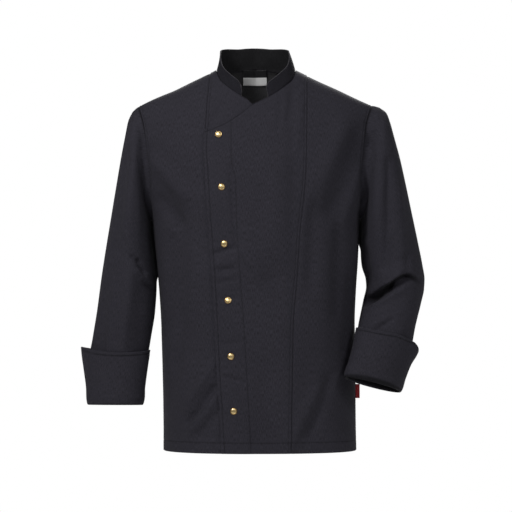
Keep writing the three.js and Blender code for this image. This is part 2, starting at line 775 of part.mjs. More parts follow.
// Centre fronts: the right one runs under, the left one over with the slanted overlap.
function centreFront(over) {
  const sign = over ? 1 : -1;
  const topX = over ? PRINCESS_TOP_LEFT : PRINCESS_TOP_RIGHT;
  const princess = over ? PRINCESS_LEFT : PRINCESS_RIGHT;
  const heights = seamRows(shoulderLine(topX));
  const seam = heights.map((z, i, all) =>
    spot(i === all.length - 1 ? sign * topX : read(princess, "z", "x", z), z),
  );
  const edgeTop = over ? OVERLAP_TOP[0] : UNDERLAP_TOP[UNDERLAP_TOP.length - 1];
  const share = (edgeTop.z - HEM_Z) / (heights[heights.length - 1] - HEM_Z);
  const edge = heights.map((z) => {
    const at = HEM_Z + (z - HEM_Z) * share;
    return spot(over ? read(OVERLAP_EDGE, "z", "x", at) : UNDERLAP_X, at);
  });
  const neck = over ? neckLeft : neckRight;
  const slope = over
    ? curveSpots(OVERLAP_TOP, [edgeTop.x, -93, -72, -48, -26])
    : curveSpots(UNDERLAP_TOP, [UNDERLAP_X, 30, 12]);
  const vee = over
    ? curveSpots(NECK_FRONT, [VEE.x, 8])
    : [spot(VEE.x, VEE.z), spot(-18, read(NECK_FRONT, "x", "z", 18))];
  const shoulder = shoulderSpots(sign, 79, topX, SHOULDER_COLUMNS, false).slice(1);
  const top = [...slope, ...vee, ...neck, ...shoulder];
  const seamTop = top.length - 1;
  top[seamTop] = seam[seam.length - 1];
  const steps = top.length - 1;
  const bottom = evenSpots(edge[0].turn, seam[0].turn, steps, HEM_Z);
  const grid = drape(fill(edge, seam, bottom, top), over);
  const last = grid.length - 1;
  const neckFrom = slope.length + vee.length;
  neck.forEach((_, k) => {
    const shared = over ? neckNormals[neckNormals.length - 1 - k] : neckNormals[k];
    grid[last][neckFrom + k].n.copy(shared);
  });
  shoulder.forEach((_, k) => grid[last][neckFrom + neck.length + k].n.copy(shoulderNormal(sign)));
  trim(grid, ["right", "top"]);
  easeCorner(grid[last][neckFrom + neck.length - 1], true);
  return grid;
}
const underGrid = centreFront(false);
const overGrid = centreFront(true);
add("front_center_right", wall(underGrid, CLOTH), CLOTH_LOOK);
const overPanel = add("front_center_left", wall(overGrid, CLOTH), CLOTH_LOOK);

// The back, one piece from side seam to side seam, with both shoulders and the back neckline.
const rightShoulder = [
  ...shoulderSpots(-1, tipX(-1), PRINCESS_TOP_RIGHT, SIDE_COLUMNS, true),
  ...shoulderSpots(-1, PRINCESS_TOP_RIGHT, 79, SHOULDER_COLUMNS, true).slice(1),
];
const leftShoulder = [
  ...shoulderSpots(1, 79, PRINCESS_TOP_LEFT, SHOULDER_COLUMNS, true).slice(0, -1),
  ...shoulderSpots(1, PRINCESS_TOP_LEFT, tipX(1), SIDE_COLUMNS, true),
];
const backTop = [...rightShoulder.slice(0, -1), ...neckBack, ...leftShoulder.slice(1)];
const backRight = sideRows(-1, true);
const backLeft = sideRows(1, true);
backTop[0] = backRight[backRight.length - 1];
backTop[backTop.length - 1] = backLeft[backLeft.length - 1];
const backBottom = evenSpots(180, 360, backTop.length - 1, HEM_Z);
const backGrid = drape(fill(backRight, backLeft, backBottom, backTop));
const backLast = backGrid.length - 1;
const neckStart = rightShoulder.length - 1;
backTop.forEach((_, k) => {
  const cell = backGrid[backLast][k];
  const inNeck = k - neckStart;
  if (inNeck >= 0 && inNeck < neckBack.length) cell.n.copy(neckNormals[neckRight.length - 1 + inNeck]);
  else cell.n.copy(shoulderNormal(k < neckStart ? -1 : 1));
});
for (let k = 0; k <= ARM_STEPS; k++) {
  const phase = (2 * ARM_STEPS - (ARM_STEPS - k)) % AROUND;
  backGrid[LOWER_ROWS + k][0].n.copy(armholeNormals.right[phase]);
  backGrid[LOWER_ROWS + k][backTop.length - 1].n.copy(armholeNormals.left[phase]);
}
trim(backGrid, ["left", "right", "top"]);
for (const j of [0, backTop.length - 1]) {
  easeCorner(backGrid[LOWER_ROWS][j], false);
  easeCorner(backGrid[backLast][j], false);
}
easeCorner(backGrid[backLast][neckStart], false);
easeCorner(backGrid[backLast][neckStart + neckBack.length - 1], false);
const backPanel = add("back", wall(backGrid, CLOTH), CLOTH_LOOK);

// Snaps: pressed caps with a rolled rim, each on the over panel where the ray meets it.
const SNAP_PROFILE = table(
  "radius height",
  [0, 0],
  [SNAP_RADIUS - 0.5, 0],
  [SNAP_RADIUS, 0.5],
  [SNAP_RADIUS, 1.1],
  [SNAP_RADIUS - 0.6, 1.6],
  [SNAP_RADIUS - 1.5, 1.5],
  [SNAP_RADIUS - 2.6, 2.1],
  [2, 2.6],
  [0, 2.7],
);
function meetPanel(panel, x, z) {
  const ray = new THREE.Raycaster(vec(x, -400, z), vec(0, 1, 0));
  const hit = ray.intersectObject(panel)[0];
  return { point: hit.point, normal: hit.face.normal.clone() };
}
SNAPS.forEach(({ x, z }, k) => {
  const { point, normal } = meetPanel(overPanel, x, z);
  const profile = SNAP_PROFILE.map((row) => new THREE.Vector2(row.radius, row.height));
  const snap = add("snap_" + (k + 1), new THREE.LatheGeometry(profile, 20), BRASS_LOOK);
  snap.quaternion.setFromUnitVectors(vec(0, 1, 0), normal);
  snap.position.copy(point).addScaledVector(normal, 0.45);
});

// Tapes inside the back neck, made from the back panel's own points and moved inwards.
function tape(x0, x1, z0, z1, off, thickness) {
  const grid = [];
  for (let i = 0; i <= 2; i++) {
    const row = [];
    for (let j = 0; j <= 4; j++) {
      const x = mix(x0, x1, j / 4);
      const z = mix(z0, z1, i / 2);
      const turn = turnAt(x, z, true);
      const n = formNormal(turn, z - 1);
      row.push({ p: form(turn, z).addScaledVector(n, -off), n });
    }
    grid.push(row);
  }
  return wall(grid, thickness);
}
const TAPE_LEFT = -26.3;
const TAPE_RIGHT = 22.2;
add("neck_label", tape(TAPE_LEFT, TAPE_RIGHT, -8.6, 4.6, CLOTH + 1, 0.7), BLACK_TAPE);
add("care_label", tape(TAPE_LEFT, TAPE_RIGHT, -24.6, -9.6, CLOTH + 1.1, 0.6), WHITE_TAPE);

// The tape in the left side seam stands out from it.
const sideTape = new THREE.BoxGeometry(8, 1, 28);
sideTape.translate(203.6, 0, -642);
add("side_label", sideTape, RED_TAPE);

export default group;
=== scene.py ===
# %% [markdown]
# A chef jacket, filled out as if worn and hanging in the air. It is all cloth, apart from six snaps.
# The frame holds the plain solids of every sewn piece, and this lesson dresses them: each panel becomes a
# thin shell on the same form, with its creases, its seams and its stitches.
# It could be simulated from flat patterns, but then every crease would land by chance. Here each crease is
# placed one by one, because the photograph shows where they are.
# %% Load the frame
import json
import math

import bmesh
import bpy
import numpy as np
from mathutils import Matrix, Vector

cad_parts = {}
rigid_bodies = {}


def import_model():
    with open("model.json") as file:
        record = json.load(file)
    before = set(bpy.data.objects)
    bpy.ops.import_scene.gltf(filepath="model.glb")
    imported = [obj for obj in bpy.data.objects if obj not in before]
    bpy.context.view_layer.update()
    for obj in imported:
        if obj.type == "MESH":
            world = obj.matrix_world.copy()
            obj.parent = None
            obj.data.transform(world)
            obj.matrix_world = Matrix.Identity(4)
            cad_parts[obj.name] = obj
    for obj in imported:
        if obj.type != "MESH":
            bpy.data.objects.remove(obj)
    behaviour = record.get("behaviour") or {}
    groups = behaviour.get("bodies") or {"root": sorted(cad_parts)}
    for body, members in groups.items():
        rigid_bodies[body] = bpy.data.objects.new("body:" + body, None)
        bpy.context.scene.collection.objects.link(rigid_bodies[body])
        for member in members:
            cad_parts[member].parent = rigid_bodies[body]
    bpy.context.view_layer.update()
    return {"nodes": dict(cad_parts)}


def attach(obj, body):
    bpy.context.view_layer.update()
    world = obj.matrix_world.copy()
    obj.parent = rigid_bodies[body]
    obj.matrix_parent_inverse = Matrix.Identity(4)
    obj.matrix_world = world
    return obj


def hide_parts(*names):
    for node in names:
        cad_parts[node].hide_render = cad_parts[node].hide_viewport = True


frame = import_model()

print("nodes in the frame:", len(frame["nodes"]))

# %% [markdown]
# Sizes are kept in millimetres while shapes are worked out, as a pattern cutter would, and become metres
# when a mesh is made. X runs to the wearer's left, the front faces -Y, and the side neck points are at zero.
# A short table with named columns says how a size changes along the body. Between its rows it is read as a
# smooth curve that never swings past them, which a plain spline would do.
# %% Helpers for tables
MM = 0.001
CLOTH = 1.3


def table(names, *rows):
    columns = np.array(rows, dtype=float).T
    return dict(zip(names.split(), columns))


def mix(a, b, t):
    return a + (b - a) * t


def smooth(t):
    t = np.clip(t, 0.0, 1.0)
    return t * t * (3 - 2 * t)


def read(rows, key, column, at):
    keys, values = rows[key], rows[column]
    if keys[-1] < keys[0]:
        keys, values = keys[::-1], values[::-1]
    at = np.clip(np.asarray(at, dtype=float), keys[0], keys[-1])
    secant = np.diff(values) / np.diff(keys)
    slope = np.zeros(len(keys))
    slope[0], slope[-1] = secant[0], secant[-1]
    same = secant[:-1] * secant[1:] > 0
    total = np.where(same, secant[:-1] + secant[1:], 1.0)
    slope[1:-1] = np.where(same, 2 * secant[:-1] * secant[1:] / total, 0.0)
    i = np.clip(np.searchsorted(keys, at, side="right") - 1, 0, len(keys) - 2)
    span = keys[i + 1] - keys[i]
    t = (at - keys[i]) / span
    ends = values[i] * (1 + 2 * t) * (1 - t) ** 2 + values[i + 1] * t * t * (3 - 2 * t)
    return ends + span * (slope[i] * t * (1 - t) ** 2 + slope[i + 1] * t * t * (t - 1))


# %% [markdown]
# The worn form is an oval at every height: wide to the sides, flatter at the front and back. Toward the
# shoulders it rolls over from front to back. One function gives any point of it from a turn round the body
# and a height, so that every panel, however cut, lies on the same body.
# %% The worn form
HEM = -758.0
UNDERARM = -297.0
BODY = table(
    "z left right front back",
    [HEM, 183.6, 199.8, 141, 131],
    [-680, 185, 199, 139, 128],
    [-570, 187.6, 198.2, 138, 124],
    [-505, 189.6, 197.4, 138, 122],
    [-440, 193.4, 200, 138, 121],
    [-380, 199, 203.6, 138.5, 121],
    [-330, 204, 205.6, 138.5, 122],
    [UNDERARM, 207, 207.5, 138, 123],
    [-260, 217.5, 217, 136, 123],
    [-200, 229, 227, 130.5, 121],
    [-153, 235, 232, 122, 116],
    [-110, 242, 237, 110.5, 110],
    [-73, 253, 249, 97, 103],
    [-40, 258, 256, 84, 97],
    [-20, 262, 260, 75, 91],
    [10, 268, 268, 62, 82],
)
SQUARE = 2 / 2.3
SHOULDER_ROLL = 110.0
ROLL_POWER = 2.6

# The broad folds that the solids have too: side -1 is the front and 1 the back.
BROAD_FOLDS = table(
    "side x0 z0 x1 z1 width depth",
    [-1, 208, -150, 150, -292, 20, 4.5],
    [-1, 150, -120, 138, -330, 26, 3],
    [-1, -204, -165, -150, -300, 20, 3.5],
    [-1, -72, -618, -122, -662, 13, 2.4],
    [-1, 178, -330, 150, -620, 22, 3.5],
    [-1, -168, -340, -146, -640, 24, 3.5],
    [-1, 110, -560, 96, HEM, 26, 3],
    [1, -206, -160, -140, -320, 22, 5],
    [1, 206, -160, 142, -330, 22, 5],
    [1, -92, -300, -84, HEM, 34, 6],
    [1, 84, -320, 92, HEM, 36, 6],
    [1, 4, -420, -6, HEM, 30, -4],
    [1, -168, -360, -150, -690, 24, 4],
    [1, 170, -380, 152, -680, 24, 4],
)


def fold_depth(folds, side, x, z):
    depth = np.zeros(np.broadcast(x, z).shape)
    rows = zip(*(folds[key] for key in ("side", "x0", "z0", "x1", "z1", "width", "depth")))
    for which, x0, z0, x1, z1, width, deep in rows:
        if which != side:
            continue
        dx, dz = x1 - x0, z1 - z0
        t = ((x - x0) * dx + (z - z0) * dz) / (dx * dx + dz * dz)
        near = np.clip(t, 0, 1)
        away = np.hypot(x - x0 - near * dx, z - z0 - near * dz)
        ends = smooth((t + 0.2) / 0.4) * smooth((1.2 - t) / 0.4)
        depth = depth + deep * np.exp(-((away / width) ** 2)) * (0.35 + 0.65 * ends)
    return depth


def shoulder_line(x):
    return -0.46 * (np.abs(x) - 75)


def form(turn, z):
    c, s = np.cos(np.radians(turn)), np.sin(np.radians(turn))
    half = np.where(c >= 0, read(BODY, "z", "right", z), read(BODY, "z", "left", z))
    deep = np.where(s >= 0, read(BODY, "z", "front", z), read(BODY, "z", "back", z))
    x = np.sign(c) * half * np.abs(c) ** SQUARE
    under = np.clip((shoulder_line(x) - z) / SHOULDER_ROLL, 0, 1)
    roll = (1 - (1 - under) ** ROLL_POWER) ** (1 / ROLL_POWER)
    flat = np.abs(s) ** SQUARE * roll
    folds = np.where(s >= 0, fold_depth(BROAD_FOLDS, -1, x, z), fold_depth(BROAD_FOLDS, 1, x, z))
    y = np.where(s >= 0, -1.0, 1.0) * (deep * flat - folds * smooth(flat * 2))
    return np.stack([x, y, z + 0 * x], axis=-1)


def form_normal(turn, z):
    across = form(turn + 0.4, z) - form(turn - 0.4, z)
    along = form(turn, z + 0.6) - form(turn, z - 0.6)
    normal = np.cross(along, across)
    return normal / np.maximum(np.linalg.norm(normal, axis=-1, keepdims=True), 1e-9)


def turn_at(x, z, back=False):
    x = np.asarray(x, dtype=float)
    half = np.where(x >= 0, read(BODY, "z", "right", z), read(BODY, "z", "left", z))
    base = np.degrees(np.arccos(np.minimum(1, (np.abs(x) / half) ** (1 / SQUARE))))
    if back:
        return np.where(x >= 0, 360 - base, 180 + base)
    return np.where(x >= 0, base, 180 - base)


def spots(x, z, back=False):
    return np.stack([turn_at(x, z, back), np.asarray(z, dtype=float) + 0 * np.asarray(x)], axis=-1)


print("half the chest girth, mm:", round(float(np.ptp(form(np.array([0.0, 180.0]), UNDERARM)[:, 0])), 1))

# %% [markdown]
# The creases are what makes cloth look like cloth. On this jacket they come from four causes: drag from
# the armholes, the bend of the arms, the pull of the placket between its snaps, and slack in the long panels.
# Each row of the table is one soft trough, or a ridge where its depth is negative. They differ in length,
# depth and spacing, as real ones do. The hidden back gets the same kinds.
# %% Creases of the body
CREASES = table(
    "side x0 z0 x1 z1 width depth",
    [-1, -86, -588, -140, -672, 9, -2.4],
    [-1, -80, -628, -133, -700, 6, 2.6],
    [-1, -79, -652, -136, -728, 8, -2.2],
    [-1, -76, -680, -112, -728, 8, 1.8],
    [-1, -71, -650, -70, -738, 5, 1.2],
    [-1, -156, -560, -170, -660, 14, 1.4],
    [-1, -82, -367, -43, -356, 5, 1.5],
    [-1, -27, -358, 10, -416, 9, -1.8],
    [-1, 2, -340, 44, -424, 13, 1.6],
    [-1, -77, -388, -42, -381, 5, -0.9],
    [-1, -77, -402, -40, -397, 5, 1.2],
    [-1, -74, -423, -40, -419, 5, 1.0],
    [-1, -74, -455, -40, -452, 5, 0.8],
    [-1, -66, -545, -28, -540, 5, 0.8],
    [-1, -58, -610, -22, -618, 6, 1.0],
    [-1, 37, -190, 30, -380, 34, -2.2],
    [-1, -150, -330, -140, -560, 26, 2.0],
    [-1, -202, -182, -138, -256, 15, -3.0],
    [-1, -192, -258, -146, -308, 13, 2.8],
    [-1, -168, -250, -150, -330, 9, 1.2],
    [-1, -166, -341, -174, -512, 14, 2.0],
    [-1, -120, -320, -132, -470, 13, -1.2],
    [-1, -150, -480, -160, -600, 10, 1.4],
    [-1, 174, -112, 112, -262, 22, -2.4],
    [-1, 200, -128, 142, -290, 18, 1.8],
    [-1, 208, -200, 176, -300, 10, -1.2],
    [-1, -48, -196, -39, -352, 7, 1.2],
    [-1, 116, -243, 106, -438, 14, 1.8],
    [-1, 164, -300, 158, -487, 12, 1.8],
    [-1, 188, -420, 176, -560, 9, 1.4],
    [-1, 120, -634, 68, -734, 13, -2.4],
    [-1, 146, -610, 106, -722, 11, 1.8],
    [-1, 26, -570, 20, -722, 26, 1.8],
    [-1, -10, -752, 60, -752, 58, 2.2],
    [-1, 72, -50, 62, -112, 9, 1.0],
    [-1, 50, -62, 44, -124, 7, 0.7],
    [-1, 90, -70, 80, -160, 9, -0.8],
    [-1, -62, -70, -88, -110, 9, 1.0],
    [-1, 20, -200, 10, -330, 18, 1.2],
    [1, -198, -170, -120, -262, 13, 3.0],
    [1, -170, -150, -96, -214, 11, -1.8],
    [1, 202, -180, 132, -250, 13, 3.2],
    [1, 176, -140, 104, -226, 12, -1.6],
    [1, -60, -60, -44, -150, 14, 1.6],
    [1, 66, -52, 40, -160, 15, 1.4],
    [1, -120, -392, -30, -412, 12, 2.0],
    [1, 24, -424, 118, -402, 13, 2.2],
    [1, -96, -446, 8, -462, 11, -1.2],
    [1, -140, -520, -128, -700, 14, 2.4],
    [1, 136, -500, 128, -716, 15, 2.0],
    [1, -40, -520, -30, -742, 16, 1.6],
    [1, 44, -560, 38, -746, 15, -1.8],
    [1, 0, -40, 4, -220, 22, 1.2],
)


def slack(x, z):
    broad = np.sin(x / 37 + np.sin(z / 61) * 1.3) * np.sin(z / 83 + x / 140)
    fine = np.sin(x / 17 + z / 190 + 1.1) * np.sin(z / 47 - x / 95 + 0.6)
    return 0.7 * broad + 0.3 * fine


CREASE_GAIN = 2.8
SLACK_GAIN = 1.7
OTHER_SLACK = 400.0


def body_relief(points, front):
    x, z = points[..., 0], points[..., 2]
    depth = fold_depth(CREASES, -1 if front else 1, x, z)
    return -CREASE_GAIN * depth + SLACK_GAIN * slack(x if front else x + OTHER_SLACK, z)


print("creases placed by hand on the body:", len(CREASES["side"]))

# %% [markdown]
# A panel is cut between four edges. The grid of its points fills the space between them, and is spaced
# closely beside the edges, at the same distance all the way, so that a seam and its row of stitches stay
# parallel. An even grid would be simpler, but a stitch line would wander across it.
# %% Filling a panel between its edges
SEAM_STEPS = np.array([0, 0.8, 1.7, 2.8, 4.2, 5.2, 6.0, 6.8, 7.9, 10.0])
HEM_STEPS = np.array([0, 1.0, 2.2, 4, 8, 12, 16, 18, 19, 20, 21, 22.2, 25])
ARM_STEPS = 72
STEP = 3.6


def fill(left, right, bottom, top):
    share_left = (left[:, 1] - left[0, 1]) / (left[-1, 1] - left[0, 1])
    share_right = (right[:, 1] - right[0, 1]) / (right[-1, 1] - right[0, 1])
    even = (seam_heights(0.0) - HEM) / -HEM
    s = np.linspace(0, 1, len(bottom))[None, :, None]
    near_left = (1 - s[..., 0]) ** 6
    near_right = s[..., 0] ** 6
    t = even[:, None] * (1 - near_left - near_right)
    t = (t + share_left[:, None] * near_left + share_right[:, None] * near_right)[..., None]
    ruled = mix(left[:, None], right[:, None], s) + mix(bottom[None], top[None], t)
    corners = mix(mix(bottom[0], bottom[-1], s), mix(top[0], top[-1], s), t)
    grid = ruled - corners
    grid[0], grid[-1] = bottom, top
    grid[:, 0], grid[:, -1] = left, right
    return grid


def arcs(points, axis):
    steps = np.linalg.norm(np.diff(points, axis=axis), axis=2)
    start = np.zeros_like(steps[:, :1] if axis == 1 else steps[:1])
    return np.concatenate([start, np.cumsum(steps, axis=axis)], axis=axis)


def respace(grid):
    arc = arcs(form(grid[..., 0], grid[..., 1]), 1)
    edge = len(SEAM_STEPS) - 1
    last = grid.shape[1] - 1
    top = arc[-1]
    inside = (top[edge : last - edge + 1] - top[edge]) / (top[last - edge] - top[edge])
    even = np.linspace(0, 1, len(inside))
    rows = np.linspace(0, 1, len(grid))
    result = grid.copy()
    for i in range(len(grid)):
        rise = smooth((rows[i] - 0.7) / 0.3)
        width = arc[i, -1]
        lead = mix(SEAM_STEPS, top[: edge + 1], rise**3)
        tail = mix(SEAM_STEPS, top[-1] - top[::-1][: edge + 1], rise**3)
        middle = mix(lead[-1], width - tail[-1], mix(even, inside, rise))
        target = np.concatenate([lead[:-1], middle, width - tail[:-1][::-1]])
        for k in (0, 1):
            result[i, :, k] = np.interp(target, arc[i], grid[i, :, k])
    return result


def stops(length, corners=()):
    marks = [SEAM_STEPS[-1], *corners, length - SEAM_STEPS[-1]]
    places = list(SEAM_STEPS[:-1])
    for a, b in zip(marks[:-1], marks[1:]):
        count = max(1, round((b - a) / STEP))
        places.extend(np.linspace(a, b, count, endpoint=False))
    places.extend(length - SEAM_STEPS[::-1])
    return np.array(places)


def top_curve(*parts):
    path = np.concatenate(parts)
    points = form(path[:, 0], path[:, 1])
    arc = np.concatenate([[0], np.cumsum(np.linalg.norm(np.diff(points, axis=0), axis=1))])
    ends = np.cumsum([len(part) for part in parts])[:-1]
    corners = [arc[k] for k in ends if SEAM_STEPS[-1] + 2 < arc[k] < arc[-1] - SEAM_STEPS[-1] - 2]
    at = stops(arc[-1], corners)
    return np.stack([np.interp(at, arc, path[:, 0]), np.interp(at, arc, path[:, 1])], axis=-1)


def lower_heights():
    count = round((UNDERARM - HEM - HEM_STEPS[-1]) / STEP)
    rest = np.linspace(HEM + HEM_STEPS[-1], UNDERARM, count + 1)[:-1]
    return np.concatenate([HEM + HEM_STEPS[:-1], rest])


LOWER = lower_heights()


def seam_heights(top):
    k = np.arange(ARM_STEPS + 1) / ARM_STEPS
    return np.concatenate([LOWER, mix(UNDERARM, top, 1 - (1 - k) ** 1.3)])


print("rows from hem to shoulder:", len(seam_heights(0)))

# %% [markdown]
# The armhole is one closed curve that three pieces share: the side front, the back and the sleeve. It is
# worked out once, so the pieces meet on it exactly, as they would after sewing.
# %% The armhole
ARMHOLE_TURN = 24.0
AROUND = 2 * ARM_STEPS


def tip_height(sign):
    z = -70.0
    reach = math.cos(math.radians(ARMHOLE_TURN)) ** SQUARE
    for _ in range(30):
        z = float(shoulder_line(reach * read(BODY, "z", "right" if sign > 0 else "left", z)))
    return z


def armhole(sign, phase):
    phase = np.asarray(phase, dtype=float)
    half = (tip_height(sign) - UNDERARM) / 2
    z = UNDERARM + half + half * np.cos(np.radians(phase))
    sine = np.sin(np.radians(phase))
    widest = ARMHOLE_TURN + np.where(sine < 0, 3.0 * sine * sine, 0)
    lower = (phase > 90) & (phase < 270)
    opened = np.where(lower, widest * np.abs(sine), widest)
    front = phase <= 180
    if sign > 0:
        turn = np.where(front, opened, 360 - opened)
    else:
        turn = np.where(front, 180 - opened, 180 + opened)
    return np.stack([turn, z], axis=-1)


def side_edge(sign, back):
    down = 180 - 180 * np.arange(ARM_STEPS + 1) / ARM_STEPS
    arm = armhole(sign, 360 - down if back else down)
    side = (360.0 if back else 0.0) if sign > 0 else 180.0
    low = np.stack([np.full(len(LOWER), side), LOWER], axis=-1)
    edge = np.concatenate([low, arm])
    if back and sign > 0:
        edge[edge[:, 0] < 90, 0] = 360.0
    return edge


print("armhole depth, mm:", round(tip_height(1) - UNDERARM, 1))

# %% [markdown]
# A shell of cloth has an outer face, an inner face and a rounded rim, like a real cut and turned edge. It
# is made straight from its grid, because the grid knows which way is out and where the grain runs. The
# weave follows a flat pattern of each piece that is kept in its UV map, in metres.
# A Solidify modifier would do as well for an even wall, but a hem is three layers thick and a panel is one.
# %% Making a shell of cloth
def grid_normals(points, tube=False):
    if tube:
        across = np.roll(points, -1, axis=1) - np.roll(points, 1, axis=1)
    else:
        across = np.gradient(points, axis=1)
    along = np.gradient(points, axis=0)
    normals = np.cross(along, across)
    length = np.linalg.norm(normals, axis=-1, keepdims=True)
    return normals / np.maximum(length, 1e-9)


def face_outward(points, normals, centre):
    outward = np.sum((points - centre) * normals)
    return normals if outward > 0 else -normals


def flat_pattern(points, tube=False):
    if tube:
        points = np.concatenate([points, points[:, :1]], axis=1)
    along = arcs(points, 0)
    across = arcs(points, 1)
    middle = across[:, -1:] / 2
    return np.stack([across - middle, np.mean(along, axis=1, keepdims=True) + 0 * across], axis=-1)


def rim_loops(m, n, tube):
    if tube:
        low = [(0, j) for j in range(n)]
        high = [(m - 1, j) for j in reversed(range(n))]
        return [low, high]
    loop = [(0, j) for j in range(n)] + [(i, n - 1) for i in range(1, m)]
    loop += [(m - 1, j) for j in reversed(range(n - 1))] + [(i, 0) for i in reversed(range(1, m - 1))]
    return [loop]


def shell(name, points, normals, thickness, tube=False, marks=None, rim=0):
    m, n = points.shape[:2]
    wall = np.broadcast_to(np.asarray(thickness, dtype=float), (m, n))[..., None]
    inner = points - normals * wall
    pattern = flat_pattern(points, tube) * MM
    columns = n if tube else n - 1
    i, j = (a.ravel() for a in np.meshgrid(np.arange(m - 1), np.arange(columns), indexing="ij"))
    k = (j + 1) % n
    face = np.stack([i * n + j, i * n + k, (i + 1) * n + k, (i + 1) * n + j], axis=-1)
    flat = np.stack([pattern[i, j], pattern[i, j + 1], pattern[i + 1, j + 1], pattern[i + 1, j]], axis=1)
    faces = [face, face[:, ::-1] + m * n]
    corner_uv = [flat, flat[:, ::-1]]
    slots = [np.zeros(len(face)), np.ones(len(face))]
    vertices = [points.reshape(-1, 3), inner.reshape(-1, 3)]
    count = 2 * m * n
    for loop in rim_loops(m, n, tube):
        rows = np.array([a for a, _ in loop])
        cols = np.array([b for _, b in loop])
        within = points[np.clip(rows, 1, m - 2), cols if tube else np.clip(cols, 1, n - 2)]
        out = points[rows, cols] - within
        out = out / np.maximum(np.linalg.norm(out, axis=-1, keepdims=True), 1e-9)
        half = wall[rows, cols]
        middle = (points[rows, cols] + inner[rows, cols]) / 2 + out * half * 0.42
        vertices.append(middle)
        here = np.arange(len(loop))
        after = np.roll(here, -1)
        outer_at = rows * n + cols
        inner_at = outer_at + m * n
        middle_at = count + here
        faces.append(np.stack([outer_at[after], outer_at, middle_at, middle_at[after]], axis=-1))
        faces.append(np.stack([middle_at[after], middle_at, inner_at, inner_at[after]], axis=-1))
        edge = pattern[rows, cols]
        for _ in range(2):
            corner_uv.append(np.stack([edge[after], edge, edge, edge[after]], axis=1))
            slots.append(np.full(len(loop), rim))
        count += len(loop)
    vertices = np.concatenate(vertices) * MM
    faces = np.concatenate(faces)
    corner_uv = np.concatenate(corner_uv)
    a, b, c = (vertices[faces[:, q]] for q in (0, 1, 2))
    d = vertices[faces[:, 3]]
    volume = np.sum(a * np.cross(b, c)) + np.sum(a * np.cross(c, d))
    if volume < 0:
        faces = faces[:, ::-1]
        corner_uv = corner_uv[:, ::-1]
    mesh = bpy.data.meshes.new(name)
    mesh.from_pydata(vertices.tolist(), [], faces.tolist())
    layer = mesh.uv_layers.new(name="grain")
    layer.data.foreach_set("uv", corner_uv.reshape(-1))
    mesh.polygons.foreach_set("material_index", np.concatenate(slots).astype(int))
    mesh.polygons.foreach_set("use_smooth", np.ones(len(faces), dtype=bool))
    for label, values in (marks or {}).items():
        field = mesh.attributes.new(label, "FLOAT", "POINT")
        rest = 0.0 if label == "painted_shade" else 99.0
        padded = np.concatenate([values.ravel(), np.full(len(vertices) - m * n, rest)])
        field.data.foreach_set("value", padded.astype(np.float32))
    mesh.update()
    piece = bpy.data.objects.new(name, mesh)
    bpy.context.scene.collection.objects.link(piece)
    return piece


PIECES = {}
GRIDS = {}


def sheet_area(points, tube=False):
    if tube:
        points = np.concatenate([points, points[:, :1]], axis=1)
    a = points[1:, 1:] - points[:-1, :-1]
    b = points[1:, :-1] - points[:-1, 1:]
    return float(np.sum(np.linalg.norm(np.cross(a, b), axis=-1)) / 2) * MM * MM


def keep(name, piece, points, normals, tube=False):
    PIECES[name] = piece
    GRIDS[name] = (points, normals)
    pattern = flat_pattern(points, tube)
    wide = float(np.max(np.ptp(pattern[..., 0], axis=1)))
    print(name, "faces", len(piece.data.polygons), "cut, mm", round(wide), "x",
          round(float(np.ptp(pattern[..., 1]))), "area, m2", round(sheet_area(points, tube), 4))
    return piece


# %% [markdown]
# Seams show as a narrow valley where two turned edges meet, with a row of stitches six millimetres beside
# it that presses the layers into a shallow channel. Between the stitches the cloth puckers a little. These
# are real dips in the mesh, and not only in the finish, so they catch light from the side.
# Creases fade out before an armhole, a side seam or a shoulder, so that two panels still meet on it. A field
# on every point marks how deep in a seam or a stitch channel it lies, and the cloth's colour darkens by it:
# this is painted shade in those recesses.
# %% Seams and hems as relief
STITCH_AT = 6.0
STITCH_WIDTH = 0.9
STITCH_DEPTH = 0.6
SEAM_DEPTH = 1.0
PUCKER = 0.3
HEM_LINE = 20.0
EDGE_ROLL = 0.9
# Painted shade: how far the colour darkens in a seam valley and along a row of stitches, by kind of edge.
SEAM_PAINTED_SHADE = {"free": 0.0, "princess": 0.4, "other": 0.85}
STITCH_PAINTED_SHADE = {"free": 0.55, "sewn": 0.2, "hem": 0.35}


def ridge(distance, at, width):
    return np.exp(-(((distance - at) / width) ** 2))


def seam_relief(distance, run, joined=True, sewn=1.0):
    depth = np.zeros_like(distance)
    if joined:
        depth -= SEAM_DEPTH * np.clip(1 - distance / 2.6, 0, 1) ** 1.6
    depth -= sewn * STITCH_DEPTH * ridge(distance, STITCH_AT, STITCH_WIDTH)
    pucker = np.sin(run / 4.1 + 1.7 * np.sin(run / 23)) * np.sin(run / 31 + 0.5)
    return depth + sewn * PUCKER * pucker * ridge(distance, 3.6, 4.5)


def hem_relief(height, run):
    ripple = np.sin(run / 5.3 + 1.9 * np.sin(run / 29)) * (0.6 + 0.4 * np.sin(run / 57))
    return -0.5 * ridge(height, HEM_LINE, 1.0) + 0.35 * ripple * ridge(height, 15, 8.0)


def hem_thickness(height):
    return CLOTH + 1.3 * (1 - smooth((height - HEM_LINE) / 2.0))


